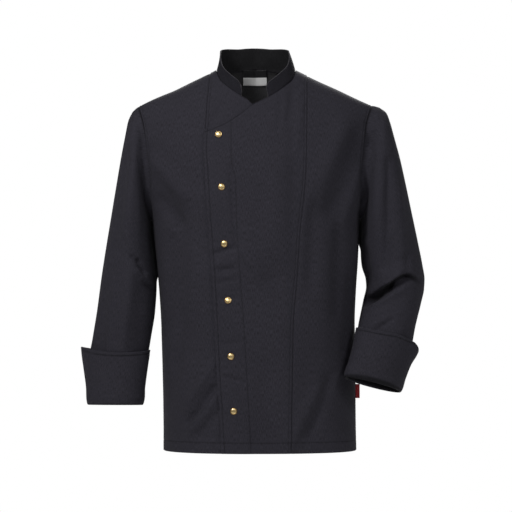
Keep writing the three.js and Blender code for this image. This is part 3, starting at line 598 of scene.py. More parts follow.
def panel(name, spots_grid, front, stitched, princess, lift=None, edges=("left", "right", "top"), free=(),
          extra=None, marks=None):
    grid = respace(spots_grid)
    base = form(grid[..., 0], grid[..., 1])
    centre = np.array([0.0, 0.0, np.mean(base[..., 2])])
    outward = form_normal(grid[..., 0], np.minimum(grid[..., 1], shoulder_line(base[..., 0]) - 1.5))
    outward = face_outward(base, outward, centre)
    if lift is not None:
        base = base + outward * lift(base[..., 0])[..., None]
    across, along = arcs(base, 1), arcs(base, 0)
    reach = {"left": across, "right": across[:, -1:] - across, "top": along[-1:] - along}
    run = {"left": along, "right": along, "top": across}
    arm = smooth((along + HEM - UNDERARM) / 10)
    relief = body_relief(base, front)
    for edge in edges:
        calm = smooth((reach[edge] - 1) / 14)
        relief = relief * mix(0.5 if edge == princess else 0.0, 1, calm)
    # Painted shade: the colour darkens along the hem stitches, along each row of stitches and in each seam
    # valley.
    shade = STITCH_PAINTED_SHADE["hem"] * ridge(along, HEM_LINE, STITCH_WIDTH)
    for edge in edges + tuple(free):
        sewn = {"all": 1.0, "arm": arm}[stitched[edge]] if edge in stitched else 0.0
        relief = relief + seam_relief(reach[edge], run[edge], edge not in free, sewn)
        kind = "free" if edge in free else "princess" if edge == princess else "other"
        line = STITCH_PAINTED_SHADE["free" if edge in free else "sewn"] * sewn
        shade = np.maximum(shade, line * ridge(reach[edge], STITCH_AT, STITCH_WIDTH))
        shade = np.maximum(shade, SEAM_PAINTED_SHADE[kind] * ridge(reach[edge], 0, 1.2))
    relief = relief + hem_relief(along, base[..., 0])
    if extra is not None:
        relief = relief + extra(base)
    for edge in free:
        relief = relief + EDGE_ROLL * ridge(reach[edge], 0, 4.0)
    points = base + outward * relief[..., None]
    normals = face_outward(points, grid_normals(points), centre)
    steady = np.sum(normals * outward, axis=-1, keepdims=True) > 0.8
    normals = np.where(steady, normals, outward)
    thickness = hem_thickness(along)
    fields = {key: make(points) for key, make in (marks or {}).items()}
    fields["painted_shade"] = shade
    piece = shell(name, points, normals, thickness, marks=fields)
    return keep(name, piece, points, normals)


# %% [markdown]
# Princess seams run from the hem to the shoulder and shape the fronts. The edges of the pattern are read
# off the photograph as short tables, seen from straight in front.
# %% Edges of the pattern pieces
NECK_FRONT = table("x z", [79, -1.84], [78, -7], [71.7, -23], [53.5, -40.5], [27, -58.3], [-6.7, -74.2])
NECK_BACK = table("x z", [79, -1.84], [76, -2], [68, -1.8], [56, -1.5], [40, -0.4], [20, 3.4], [0, 6.5])
PRINCESS_RIGHT = table(
    "z x",
    [HEM, -61.5], [-588, -71], [-424, -79], [-262, -91],
    [-163, -97], [-124, -99], [-82, -97.5], [-7.4, -91],
)
PRINCESS_LEFT = table(
    "z x",
    [HEM, 69], [-643, 71], [-506, 73.4], [-424, 80], [-331, 86], [-193, 98.8], [-12, 102],
)
OVERLAP_EDGE = table(
    "z x",
    [HEM, -66.7], [-588, -76], [-424, -84.3], [-262, -95.9],
    [-207, -99.3], [-163, -102.3], [-142, -102], [-124, -100.2],
)
OVERLAP_TOP = table("x z", [-100.2, -124], [-93, -121], [-54.3, -107], [-28, -91], [-6.7, -74.2])
UNDERLAP_TOP = table("x z", [-6.7, -74.2], [20, -84], [50, -94])
PLACKET_LINE = table(
    "z x",
    [-742, -10.2], [-506, -23.9], [-313, -37.6], [-223, -40.5], [-180, -48.6], [-103, -49.1],
)
VEE_X, VEE_Z = -6.7, -74.2
SHOULDER_SEAM = {-1: 91.0, 1: 102.0}
UNDERLAP_X = 50.0


def seam_spots(rows, sign):
    z = seam_heights(float(shoulder_line(SHOULDER_SEAM[sign])))
    x = read(rows, "z", "x", z)
    x[-1] = sign * SHOULDER_SEAM[sign]
    return spots(x, z)


def shoulder_spots(sign, start, end, back=False, count=60):
    x = np.linspace(start, end, count)
    return spots(sign * x, shoulder_line(x), back)


def tip_x(sign):
    at = armhole(sign, 0)
    return abs(float(form(at[0], at[1])[0]))


def level(start, end, count):
    return np.stack([np.linspace(start, end, count), np.full(count, HEM)], axis=-1)


def neck_front(sign, start_x):
    z = np.linspace(float(read(NECK_FRONT, "x", "z", sign * start_x)), -1.84, 90)
    return spots(sign * read(NECK_FRONT, "z", "x", z), z)


print("shoulder tips at x, mm:", round(tip_x(-1)), round(tip_x(1)))

# %% [markdown]
# The side fronts hang between princess seam and side seam, and end in the front half of the armhole.
# %% Side fronts
def side_front(sign, rows, name):
    inner = seam_spots(rows, sign)
    outer = side_edge(sign, False)
    top = top_curve(shoulder_spots(sign, SHOULDER_SEAM[sign], tip_x(sign)))
    top[0], top[-1] = inner[-1], outer[-1]
    bottom = level(inner[0, 0], outer[0, 0], len(top))
    return panel(name, fill(inner, outer, bottom, top), True, {"right": "arm"}, "left")


side_front(-1, PRINCESS_RIGHT, "cloth_side_right")
side_front(1, PRINCESS_LEFT, "cloth_side_left")

# %% [markdown]
# The centre fronts cross over. The right one lies under and ends beneath the other, and the left one lies
# over it with a slanted top. Along its free edge the cloth is turned in and stitched down, which makes the
# placket that carries the snaps. The placket is pressed flat, so it lies a little lower at its inner row
# of stitches than the loose cloth beside it.
# %% Centre fronts
PLACKET_TOP = -100.0
LAP_LIFT = 2.5
LAP_END = 76.0
LAP_FADE = 24.0


def placket_away(points):
    return points[..., 0] - read(PLACKET_LINE, "z", "x", points[..., 2])


def placket_relief(base):
    away, z = placket_away(base), base[..., 2]
    below = smooth((PLACKET_TOP - z) / 12)
    step = 0.5 * (1 - smooth((away + 1) / 3))
    pucker = np.sin(z / 4.3 + 1.6 * np.sin(z / 21)) * ridge(away, 0, 5)
    return (step - 0.5 * ridge(away, 0, 1.8) + PUCKER * pucker) * below


def lap_lift(x):
    return LAP_LIFT * smooth((LAP_END - x) / LAP_FADE)


def centre_front(over, name):
    sign = 1 if over else -1
    seam = seam_spots(PRINCESS_LEFT if over else PRINCESS_RIGHT, sign)
    edge_top = -124.0 if over else -94.0
    z = seam_heights(edge_top)
    edge = spots(read(OVERLAP_EDGE, "z", "x", z) if over else UNDERLAP_X + 0 * z, z)
    neck_start = 24.0 if over else -29.0
    if over:
        x = np.linspace(-100.2, VEE_X, 80)
        slope = spots(x, read(OVERLAP_TOP, "x", "z", x))
        x = np.linspace(VEE_X, neck_start, 30)[1:]
        vee = spots(x, read(NECK_FRONT, "x", "z", x))
    else:
        x = np.linspace(UNDERLAP_X, VEE_X, 60)
        slope = spots(x, read(UNDERLAP_TOP, "x", "z", x))
        middle = float(read(NECK_FRONT, "x", "z", 18.0))
        start = float(read(NECK_FRONT, "x", "z", 29.0))
        x = np.linspace(VEE_X, neck_start, 30)[1:]
        vee = spots(x, np.interp(-x, [-VEE_X, 18, 29], [VEE_Z, middle, start]))
    neck = neck_front(sign, neck_start)[1:]
    shoulder = shoulder_spots(sign, 79, SHOULDER_SEAM[sign], count=20)[1:]
    top = top_curve(slope, vee, neck, shoulder)
    top[0], top[-1] = edge[-1], seam[-1]
    bottom = level(edge[0, 0], seam[0, 0], len(top))
    grid = fill(edge, seam, bottom, top)
    lift = lap_lift if over else None
    return panel(
        name, grid, True, {"left": "all", "right": "all", "top": "all"}, "right", lift=lift, edges=("right",),
        free=("left", "top"), extra=placket_relief if over else None,
        marks={"placket_away": placket_away} if over else None,
    )


centre_front(False, "cloth_centre_under")
centre_front(True, "cloth_centre_over")

# %% [markdown]
# The back is cut in one piece, from side seam to side seam, with both shoulders and the back of the neck.
# %% Back
def neck_back():
    x = 79 * np.sin(np.linspace(-math.pi / 2, math.pi / 2, 120))
    return spots(x, read(NECK_BACK, "x", "z", np.abs(x)), True)


def make_back(name):
    left, right = side_edge(-1, True), side_edge(1, True)
    top = top_curve(
        shoulder_spots(-1, tip_x(-1), 79, True),
        neck_back()[1:],
        shoulder_spots(1, 79, tip_x(1), True)[1:],
    )
    top[0], top[-1] = left[-1], right[-1]
    bottom = level(180.0, 360.0, len(top))
    stitched = {"left": "arm", "right": "arm", "top": "all"}
    return panel(name, fill(left, right, bottom, top), False, stitched, None)


make_back("cloth_back")

# %% [markdown]
# A sleeve starts on the armhole and follows sections down the arm. Each row of its table gives where the
# outer and the inner edge of the sleeve are seen, and how deep the tube is there. The right arm hangs
# almost straight. The left one bends at the elbow, so its cloth folds over itself in one strong crease: a
# lip of cloth above the elbow line drops over the hollow below it. Both sleeves rest against the body under
# the arm, so a strip behind their inner edge is pressed toward it, and the gap closes as in the photograph.
# %% Sleeves
SLEEVE_RIGHT = table(
    "outX outZ outY inX inZ inY front back",
    [-247, -84.5, 0, -208.6, -299, 0, 61, 62],
    [-255, -101, 0, -209.6, -303, 0, 65, 66],
    [-262.5, -136, 0, -210, -308, 0, 70, 71],
    [-271, -180, 0, -210, -316, 0, 75, 77],
    [-281.5, -240, 0, -209.4, -328, 0, 79, 81],
    [-292, -305, 0, -208, -346, 2, 79, 81],
    [-301.5, -365, 2, -203.2, -386, 2, 75, 77],
    [-309.5, -420, 2, -198.6, -432, 0, 69, 71],
    [-317.5, -477, 0, -201.5, -480, -4, 61, 63],
    [-326, -532, -4, -210.5, -536, -10, 53, 54],
    [-333, -585, -9, -218, -585, -16, 46, 46],
    [-332.5, -666, -15, -228.5, -666, -23, 41, 41],
)
SLEEVE_LEFT = table(
    "outX outZ outY inX inZ inY front back",
    [247, -75.2, 0, 208.8, -299, 0, 61, 62],
    [260.5, -85.5, 0, 209.8, -302, 0, 66, 66],
    [268.5, -105, 0, 210.6, -306, 0, 71, 71],
    [276, -132, 0, 211, -311, 0, 75, 75],
    [287, -173, 0, 211, -318, 0, 79, 79],
    [300, -231, 2, 210.8, -329, 1, 80, 80],
    [313, -294, 5, 210, -344, 3, 78, 79],
    [324.5, -348, 8, 209.6, -365, 5, 74, 76],
    [332.5, -386, 10, 211.6, -391, 6, 71, 73],
    [337.6, -418, 10, 219.5, -418, 4, 67, 70],
    [336.5, -438, 8, 220.5, -434, 0, 64, 67],
    [328.5, -470, 2, 214, -462, -14, 58, 60],
    [315, -512, -10, 206.5, -500, -46, 50, 50],
    [303, -562, -26, 198, -546, -80, 42, 42],
    [281, -640, -44, 180.5, -608, -108, 35, 35],
)
SLEEVE_CREASES = table(
    "side x0 z0 x1 z1 width depth",
    [-1, 328, -421, 300, -411, 5, 2.8],
    [-1, 302, -413, 258, -433, 7, 7.5],
    [-1, 262, -431, 212, -462, 10, 10.5],
    [-1, 306, -384, 232, -416, 9, -1.8],
    [-1, 292, -438, 226, -474, 7, -2.2],
    [-1, 288, -432, 228, -462, 3.6, 1.8],
    [-1, 271, -494, 234, -520, 6, 2.6],
    [-1, 282, -488, 226, -506, 7, -1.4],
    [-1, 264, -182, 258, -396, 10, 4.0],
    [-1, 240, -190, 234, -380, 12, -1.6],
    [-1, 284, -230, 290, -370, 10, -1.8],
    [-1, 217, -356, 226, -416, 6, 3.0],
    [-1, 301, -372, 299, -394, 8, 2.0],
    [-1, 216, -153, 242, -126, 6, 2.6],
    [-1, 228, -130, 213, -330, 9, 3.0],
    [-1, 300, -520, 286, -590, 9, 1.6],
    [1, 322, -402, 226, -430, 10, 8.0],
    [1, 316, -384, 236, -404, 9, -2.6],
    [1, 300, -446, 232, -458, 8, 3.2],
    [1, 286, -190, 280, -350, 15, 3.6],
    [1, 244, -180, 236, -340, 12, 2.6],
    [1, 276, -500, 238, -524, 7, 2.2],
    [-1, -247, -372, -232, -384, 5, 2.2],
    [-1, -234, -382, -220, -406, 4.5, 3.4],
    [-1, -224, -424, -206, -438, 4.2, 3.4],
    [-1, -238, -400, -212, -424, 6, -2.0],
    [-1, -246, -388, -266, -556, 12, -3.0],
    [-1, -224, -440, -234, -610, 14, 1.6],
    [-1, -262, -170, -280, -360, 14, 2.8],
    [-1, -244, -180, -258, -330, 10, -1.6],
    [-1, -228, -130, -212, -330, 9, 3.0],
    [-1, -300, -440, -310, -560, 12, 2.0],
    [-1, -286, -420, -292, -560, 10, -1.4],
    [1, -208, -418, -286, -440, 11, 5.0],
    [1, -214, -450, -268, -462, 8, -2.0],
    [1, -216, -478, -262, -492, 8, 2.6],
    [1, -270, -190, -284, -350, 15, 3.6],
    [1, -236, -200, -240, -340, 11, 2.4],
    [1, -264, -520, -280, -640, 12, 2.4],
)
SLEEVE_GAIN = 1.8
PHASES = 360.0 * np.arange(AROUND) / AROUND


def rows_at(rows, places):
    keyed = dict(rows, place=np.arange(len(rows["outX"]), dtype=float))
    return {key: read(keyed, "place", key, places) for key in rows}


def unit(v):
    return v / np.maximum(np.linalg.norm(v, axis=-1, keepdims=True), 1e-9)


def sections(row, phases):
    out = np.stack([row["outX"], row["outY"], row["outZ"]], axis=-1)[:, None]
    inn = np.stack([row["inX"], row["inY"], row["inZ"]], axis=-1)[:, None]
    middle, half = (out + inn) / 2, (out - inn) / 2
    along = unit(half)
    back = np.array([0.0, 1.0, 0.0])
    back = unit(back - along * np.sum(along * back, axis=-1, keepdims=True))
    c = np.cos(np.radians(phases))[None, :, None]
    s = np.sin(np.radians(phases))[None, :, None]
    depth = np.where(s > 0, row["front"][:, None, None], row["back"][:, None, None])
    return middle + half * c - back * s * depth


def even_places(rows, end, step):
    fine = np.linspace(0, end, 600)
    row = rows_at(rows, fine)
    path = np.stack([row["outX"] + row["inX"], row["outY"] + row["inY"], row["outZ"] + row["inZ"]], -1) / 2
    outer = np.stack([row["outX"], row["outY"], row["outZ"]], -1)
    length = np.linalg.norm(np.diff(path, axis=0), axis=1) + np.linalg.norm(np.diff(outer, axis=0), axis=1)
    arc = np.concatenate([[0], np.cumsum(length / 2)])
    return np.interp(np.linspace(0, arc[-1], round(arc[-1] / step)), arc, fine)


LIP_DROP = 10.5
LIP_OUT = 5.5
PRESS_DEPTH = 8.5
PRESS_TOP = -286.0
PRESS_END = {1: -366.0, -1: -432.0}
PRESS_BEHIND = 28.0
ARMHOLE_TROUGH = 6.0
ELBOW_LINE = table("x z", [206, -459], [218, -453], [259, -427], [299, -406], [328, -420])


def elbow_lip(base, normals):
    x, z = base[..., 0], base[..., 2]
    above = z - read(ELBOW_LINE, "x", "z", x)
    front = smooth(-normals[..., 1] * 1.8) * smooth((x - 204) / 14) * smooth((334 - x) / 24)
    heavy = mix(1.0, 0.55, smooth((x - 262) / 40))
    over = ridge(above, 9, 8) * front * heavy
    drop = np.stack([-0.25 * over, -0.35 * over, -1.0 * over], axis=-1) * LIP_DROP
    # Painted shadow: the colour darkens in the hollow under the lip, where the fold hides it from the light.
    deep = ridge(above, -3, 7.0) * front * mix(1.0, 0.9, smooth((x - 262) / 40))
    return drop + normals * (LIP_OUT * over)[..., None], deep


def press_inward(sign, base, normals):
    z, toward = base[..., 2], -sign * normals[..., 0]
    reach = smooth((PRESS_TOP - z) / 12) * smooth((z - PRESS_END[sign]) / 26)
    return PRESS_DEPTH * ridge(base[..., 1], PRESS_BEHIND, 17) * smooth(toward * 2) * reach


def sleeve(sign, rows, end, name):
    at = armhole(sign, PHASES)
    loop = form(at[:, 0], at[:, 1])
    tube = sections(rows_at(rows, even_places(rows, end, 2.7)), PHASES)
    bridge = [mix(loop, tube[0], t) for t in (0, 0.08, 0.2, 0.35, 0.5, 0.66, 0.83)]
    base = np.concatenate([np.array(bridge), tube])
    centre = np.mean(base, axis=1, keepdims=True)
    normals = face_outward(base, grid_normals(base, True), centre)
    along = arcs(base, 0)
    front = normals[..., 1] < 0
    x, z = base[..., 0], base[..., 2]
    depth = np.where(front, fold_depth(SLEEVE_CREASES, -1, x, z), fold_depth(SLEEVE_CREASES, 1, x, z))
    depth *= SLEEVE_GAIN
    share = smooth(np.abs(normals[..., 1]) * 1.6) * smooth(along / 12)
    relief = -depth * share + 1.0 * slack(x + 55 * normals[..., 1], z + 30) * smooth(along / 40)
    run = np.radians(PHASES)[None] * 75 + 0 * along
    relief += seam_relief(along, run, True, 0.0) * 0.9
    cap = 0.5 * (1 + np.cos(np.radians(PHASES)))[None] ** 2 / 2
    relief += 0.7 * cap * np.sin(run / 5.2 + np.sin(run / 19)) * ridge(along, 8, 7)
    under_seam = np.abs(np.radians(PHASES - 180))[None] * 60 + 0 * along
    arm_front = smooth(-normals[..., 1] * 1.6) * smooth((-95 - z) / 50)
    relief -= ARMHOLE_TROUGH * ridge(along, 6, 5.5) * arm_front
    relief += press_inward(sign, base, normals) - 0.9 * ridge(under_seam, 0, 3.0)
    flush = face_outward(loop, form_normal(at[:, 0], at[:, 1]), np.mean(loop, axis=0))
    way = unit(mix(flush[None], normals, smooth(along / 9)[..., None]))
    points = base + way * relief[..., None]
    # Painted shade along the armhole seam and the underarm seam.
    shade = np.maximum(ridge(along, 0, 2.2), 0.8 * ridge(under_seam, 0, 2.0))
    if sign > 0:
        drop, deep = elbow_lip(base, normals)
        points = points + drop
        shade = np.maximum(shade, deep)
    normals = face_outward(points, grid_normals(points, True), centre)
    piece = shell(name, points, normals, CLOTH, tube=True, marks={"painted_shade": shade})
    return keep(name, piece, points, normals, True)


sleeve(-1, SLEEVE_RIGHT, 10.7, "cloth_sleeve_right")
sleeve(1, SLEEVE_LEFT, 13.7, "cloth_sleeve_left")

# %% [markdown]
# The cuffs are turned back: the cloth comes down inside the arm, rounds the bottom fold and goes up
# outside to a free, stitched edge. The top stands off the sleeve and flares on the outer side, by a table
# for each arm. The bottom fold is tilted, low at the back, so that a sliver of the dark opening shows.
# %% Cuffs
CUFF_OFF = 4.2
CUFF_CLOTH = 1.5
FLARE_RIGHT = table("up flare", [0, 0], [0.27, 2.3], [0.57, 6.8], [0.87, 11.7], [1, 14])
FLARE_LEFT = table("up flare", [0, 0], [0.25, 1], [0.5, 5], [0.7, 11], [0.84, 12], [0.94, 7], [1, 1])
CUFFS = {
    "right": (SLEEVE_RIGHT, 10.7, 11.0, [10.6, 10.15, 9.7, 9.5], FLARE_RIGHT, 5.0, 0.0, 1.5),
    "left": (SLEEVE_LEFT, 13.7, 14.0, [13.6, 13.2, 12.9, 12.65, 12.47, 12.35], FLARE_LEFT, 3.0, 18.0, 7.0),
}


def cuff_ring(rows, place, off, dip):
    here = sections(rows_at(rows, np.array([place])), PHASES)[0]
    ahead = sections(rows_at(rows, np.array([place - 0.2])), PHASES)[0]
    turned = sections(rows_at(rows, np.array([place])), PHASES + 4)[0]
    back = unit(ahead - here)
    outward = unit(np.cross(back, turned - here))
    middle = np.mean(here, axis=0)
    facing = np.sign(np.sum(outward * (here - middle), axis=-1, keepdims=True))
    return here + outward * facing * np.reshape(off, (-1, 1)) - back * np.reshape(dip, (-1, 1))


def spread(rings, count):
    rings = np.array(rings)
    steps = np.mean(np.linalg.norm(np.diff(rings, axis=0), axis=2), axis=1)
    arc = np.concatenate([[0], np.cumsum(steps)])
    at = np.linspace(0, arc[-1], count)
    slope = np.gradient(rings, arc, axis=0)
    i = np.clip(np.searchsorted(arc, at, side="right") - 1, 0, len(arc) - 2)
    span = (arc[i + 1] - arc[i])[:, None, None]
    t = ((at - arc[i]) / (arc[i + 1] - arc[i]))[:, None, None]
    result = rings[i] * (1 + 2 * t) * (1 - t) ** 2 + rings[i + 1] * t * t * (3 - 2 * t)
    return result + span * (slope[i] * t * (1 - t) ** 2 + slope[i + 1] * t * t * (t - 1))


def cuff(side):
    rows, end, fold, places, flare_rows, sag_depth, sag_out, tilt = CUFFS[side]
    inside = -CLOTH
    half = (CUFF_OFF - inside) / 2
    c = np.cos(np.radians(PHASES))
    s = np.sin(np.radians(PHASES))
    rings = [
        cuff_ring(rows, end, inside + 0 * c, 0.4 + 0 * c),
        cuff_ring(rows, mix(end, fold, 0.5), inside + 0 * c, -0.4 * tilt * s),
    ]
    for turn in (0, 30, 60, 90, 120, 150, 180):
        off = inside + half * (1 - math.cos(math.radians(turn)))
        rings.append(cuff_ring(rows, fold, off + 0 * c, half * math.sin(math.radians(turn)) - tilt * s))
    outer_share = np.maximum(c, 0)
    for place in places:
        up = (fold - place) / (fold - places[-1])
        flare = float(read(flare_rows, "up", "flare", up)) * outer_share**3
        wave = 0.9 * up * np.sin(np.radians(PHASES * 3 + 40)) + 0.6 * up * np.sin(np.radians(PHASES * 5))
        dip = up * (sag_depth * s**2 + sag_out * outer_share**1.3)
        rings.append(cuff_ring(rows, place, CUFF_OFF + flare + wave, dip))
    base = spread(rings, 64)
    upper = base[-20:]
    normals = grid_normals(base, True)
    outward = np.sum((upper - np.mean(upper, axis=1, keepdims=True)) * normals[-20:])
    flip = 1.0 if outward > 0 else -1.0
    normals = normals * flip
    from_top = arcs(base, 0)
    from_top = from_top[-1:] - from_top
    run = np.radians(PHASES)[None] * 50 + 0 * from_top
    outside = smooth((np.arange(len(base)) / len(base) - 0.35) / 0.1)[:, None]
    loose = 0.8 * slack(base[..., 0] * 1.6, base[..., 2] * 1.4)
    relief = (seam_relief(from_top, run, False) + loose) * outside
    points = base + normals * relief[..., None]
    normals = grid_normals(points, True) * flip
    name = "cloth_cuff_" + side
    # Painted shade along the row of stitches, and over the inside part of the cuff so that its opening shows
    # dark.
    shade = 0.8 * ridge(from_top, STITCH_AT, 1.2) * outside
    shade = np.maximum(shade, 0.9 * smooth((from_top[:1] - from_top - 34) / -6))
    piece = shell(name, points, normals, CUFF_CLOTH, tube=True, marks={"painted_shade": shade})
    return keep(name, piece, points, normals, True)


cuff("right")
cuff("left")

# %% [markdown]
# The collar is a stand: a narrow band of doubled cloth that rises from the neck seam and leans in a
# little. Its front ends are rounded and leave the throat open. Both its faces show, the outer one in front
# and the inner one at the back, so it is a shell of its own with two cloths. A third, paler one on its
# rim is a painted highlight, where light catches the fold of the edge.
# %% Collar
STAND = table(
    "turn rise pull",
    [0, 27, 6], [35, 28, 7], [60, 29, 8], [80, 34.5, 9], [100, 41, 10], [130, 45, 10.5], [180, 40, 9],
)
COLLAR_CLOTH = 2.2
COLLAR_LINE = 4.0
NECK_Y = -6.0
ROUND_END = 13.0


def make_collar(name):
    left, right = neck_front(1, 24.0), neck_front(-1, -29.0)
    path = np.concatenate([right, neck_back()[1:-1], left[::-1]])
    fine = form(path[:, 0], path[:, 1])
    over = (path[:, 0] < 90) & (path[:, 0] > 0)
    ahead = form(path[:, 0] + 0.4, path[:, 1]) - form(path[:, 0] - 0.4, path[:, 1])
    down = form(path[:, 0], path[:, 1] + 0.6) - form(path[:, 0], path[:, 1] - 0.6)
    out = unit(np.cross(down, ahead))
    fine = fine + out * (np.where(over, lap_lift(fine[:, 0]), 0))[:, None]
    arc = np.concatenate([[0], np.cumsum(np.linalg.norm(np.diff(fine, axis=0), axis=1))])
    ends = np.array([0, 0.6, 1.4, 2.4, 3.6, 5, 6.6, 8.4, 10.5])
    count = round((arc[-1] - 2 * ROUND_END) / 3.2)
    middle = np.linspace(ROUND_END, arc[-1] - ROUND_END, count)
    at = np.concatenate([ends, middle, arc[-1] - ends[::-1]])
    foot = np.stack([np.interp(at, arc, fine[:, k]) for k in range(3)], axis=-1)
    for _ in range(2):
        foot[1:-1] = (foot[:-2] + 2 * foot[1:-1] + foot[2:]) / 4
    near = np.minimum(at, arc[-1] - at)
    turn = np.degrees(np.arctan2(np.abs(foot[:, 0]), NECK_Y - foot[:, 1]))
    rounded = np.sqrt(1 - (1 - np.clip(near / ROUND_END, 0, 1)) ** 2)
    share = mix(0.62, 1, rounded)
    rise = read(STAND, "turn", "rise", turn) * share
    pull = read(STAND, "turn", "pull", turn) * share
    axis = unit(np.stack([-foot[:, 0], NECK_Y - foot[:, 1], 0 * turn], axis=-1))
    t = np.concatenate([np.linspace(0, 0.16, 4), np.linspace(0.2, 0.8, 9), np.linspace(0.84, 1, 4)])
    t = t[:, None, None]
    lean = np.concatenate([-2.5 * t * t, 0 * t, 0 * t], axis=-1)
    up = np.stack([0 * rise, 0 * rise, rise], axis=-1)[None] * t
    base = foot[None] + axis[None] * (pull[None, :, None] * t * (1.25 - 0.25 * t)) + lean + up
    centre = np.array([0.0, NECK_Y, 0.0]) + base * np.array([0, 0, 1.0])
    normals = face_outward(base, grid_normals(base), centre)
    along = arcs(base, 0)
    run = at[None] + 0 * along
    from_top = along[-1:] - along
    soft = 0.5 * np.sin(run / 13 + 1.5 * np.sin(run / 37)) * np.sin(along / 9 + run / 60)
    relief = soft * smooth(along / 8) - 0.8 * np.clip(1 - along / 2.4, 0, 1) ** 1.5
    relief -= 0.35 * ridge(from_top, COLLAR_LINE, 1.0)
    points = base + normals * relief[..., None]
    normals = face_outward(points, grid_normals(points), centre)
    piece = shell(name, points, normals, COLLAR_CLOTH, rim=2)
    return keep(name, piece, points, normals)


make_collar("cloth_collar")

# %% [markdown]
# The labels inside the back neck are small woven tapes, sewn under the collar. They lie on the inner face
# of the back, so they are made from the same form, moved inwards. They are left blank.
# %% Labels
def inner_tape(name, x0, x1, z0, z1, off, thickness, curl):
    z, x = np.meshgrid(np.linspace(z0, z1, 15), np.linspace(x0, x1, 40), indexing="ij")
    turn = turn_at(x, z, True)
    base = form(turn, z)
    normals = face_outward(base, grid_normals(base), np.array([0, 0, -10.0]))
    free = smooth((z1 - z) / (z1 - z0)) * curl
    lift = off + free * (0.5 + 0.5 * np.sin(x / 9 + 0.7))
    points = base + normals * (np.minimum(body_relief(base, False), 0) - lift)[..., None]
    normals = face_outward(points, grid_normals(points), np.array([0, 0, -10.0]))
    piece = shell(name, points, normals, thickness)
    return keep(name, piece, points, normals)


inner_tape("tape_neck", -26.3, 22.2, -8.6, 4.6, CLOTH + 1.0, 0.7, 0.4)
inner_tape("tape_care", -26.3, 22.2, -24.6, -9.6, CLOTH + 1.1, 0.6, 0.9)


def side_tape(name):
    turn = np.linspace(0, 180, 9)
    loop = [(198.9, -0.48), (201.4, -0.48), (204.0, -0.5), (206.4, -0.5)]
    bend = [(206.9 + 0.5 * math.sin(math.radians(a)), -0.5 * math.cos(math.radians(a))) for a in turn]
    loop += bend + [(206.4, 0.5), (204.0, 0.5), (201.4, 0.48), (198.9, 0.48)]
    outline = np.array(loop)
    z = np.linspace(-656, -628, 12)
    bow = 0.5 * np.sin((z + 656) / 28 * math.pi)
    points = np.empty((len(z), len(outline), 3))
    points[..., 0] = outline[None, :, 0]
    points[..., 1] = outline[None, :, 1] + bow[:, None] * smooth((outline[None, :, 0] - 200) / 7)
    points[..., 2] = z[:, None]
    normals = face_outward(points, grid_normals(points), np.array([203.0, 0, -642]))
    piece = shell(name, points, normals, 0.35)
    return keep(name, piece, points, normals)


side_tape("tape_side")

# %% [markdown]
# Snap caps are pressed from thin brass: a flat skirt, a rolled rim, a shallow groove and a low dome. One is
# shaped from a cylinder, by insets and small moves of its top face, and is then copied to its six
# places, each turned to lie on the cloth under it.
# %% Snaps
SNAPS = table(
    "x z", [-73.5, -133], [-67.4, -236.7], [-62.2, -348], [-54.6, -458.5], [-49.1, -568.4], [-43.6, -675.4]
)
CAP_RADIUS = 6.8 * MM
CAP_SKIRT = 1.3 * MM
DOME_RADIUS = 5.6 * MM
bpy.ops.object.select_all(action="DESELECT")
middle = (0, 0, CAP_SKIRT / 2)
bpy.ops.mesh.primitive_cylinder_add(vertices=48, radius=CAP_RADIUS, depth=CAP_SKIRT, location=middle)
cap = bpy.context.object
cap.name = "snap_master"
bpy.ops.object.mode_set(mode="EDIT")
bpy.ops.mesh.select_mode(type="FACE")


def select_top(limit):
    body = bmesh.from_edit_mesh(cap.data)
    for f in body.faces:
        f.select = f.normal.z > 0.9 and f.calc_center_median().z > limit and len(f.verts) > 8
    bmesh.update_edit_mesh(cap.data)


CAP_STEPS = ((0.35, 0.3), (0.55, 0.05), (0.3, -0.45), (0.35, 0.1), (0.9, 0.55), (1.4, 0.42), (1.6, 0.2))
for inset, rise in CAP_STEPS:
    select_top(0.0)
    bpy.ops.mesh.inset(thickness=inset * MM, depth=0)
    select_top(0.0)
    bpy.ops.transform.translate(value=(0, 0, rise * MM))
bpy.ops.object.mode_set(mode="OBJECT")
bevel = cap.modifiers.new("soft_edges", "BEVEL")
bevel.width = 0.12 * MM
bevel.segments = 2
bevel.limit_method = "ANGLE"
bevel.angle_limit = math.radians(40)
bpy.ops.object.modifier_apply(modifier="soft_edges")
bpy.ops.object.shade_smooth_by_angle(angle=math.radians(50))
# The skirt outside the dome takes the darker rim finish: partly its darker edge, partly painted contact
# shadow.
for face in cap.data.polygons:
    face.material_index = int(face.center.xy.length > DOME_RADIUS)


def cloth_point(name, x, z):
    points, normals = GRIDS[name]
    gap = (points[..., 0] - x) ** 2 + (points[..., 2] - z) ** 2
    i, j = np.unravel_index(np.argmin(gap), gap.shape)
    place = points[i, j].copy()
    slope = normals[i, j]
    place[1] -= (slope[0] * (x - place[0]) + slope[2] * (z - place[2])) / slope[1]
    return np.array([x, place[1], z]), slope


snap_pieces = []
for number, (x, z) in enumerate(zip(SNAPS["x"], SNAPS["z"]), 1):
    place, facing = cloth_point("cloth_centre_over", x, z)
    turn = Vector((0, 0, 1)).rotation_difference(Vector(facing)).to_matrix().to_4x4()
    mesh = cap.data.copy()
    mesh.transform(Matrix.Translation(Vector((place + facing * 0.1) * MM)) @ turn)
    snap = bpy.data.objects.new("snap_cap_%d" % number, mesh)
    bpy.context.scene.collection.objects.link(snap)
    snap_pieces.append(snap)
bpy.data.objects.remove(cap)
print("snap caps:", len(snap_pieces), "faces each:", len(snap_pieces[0].data.polygons))

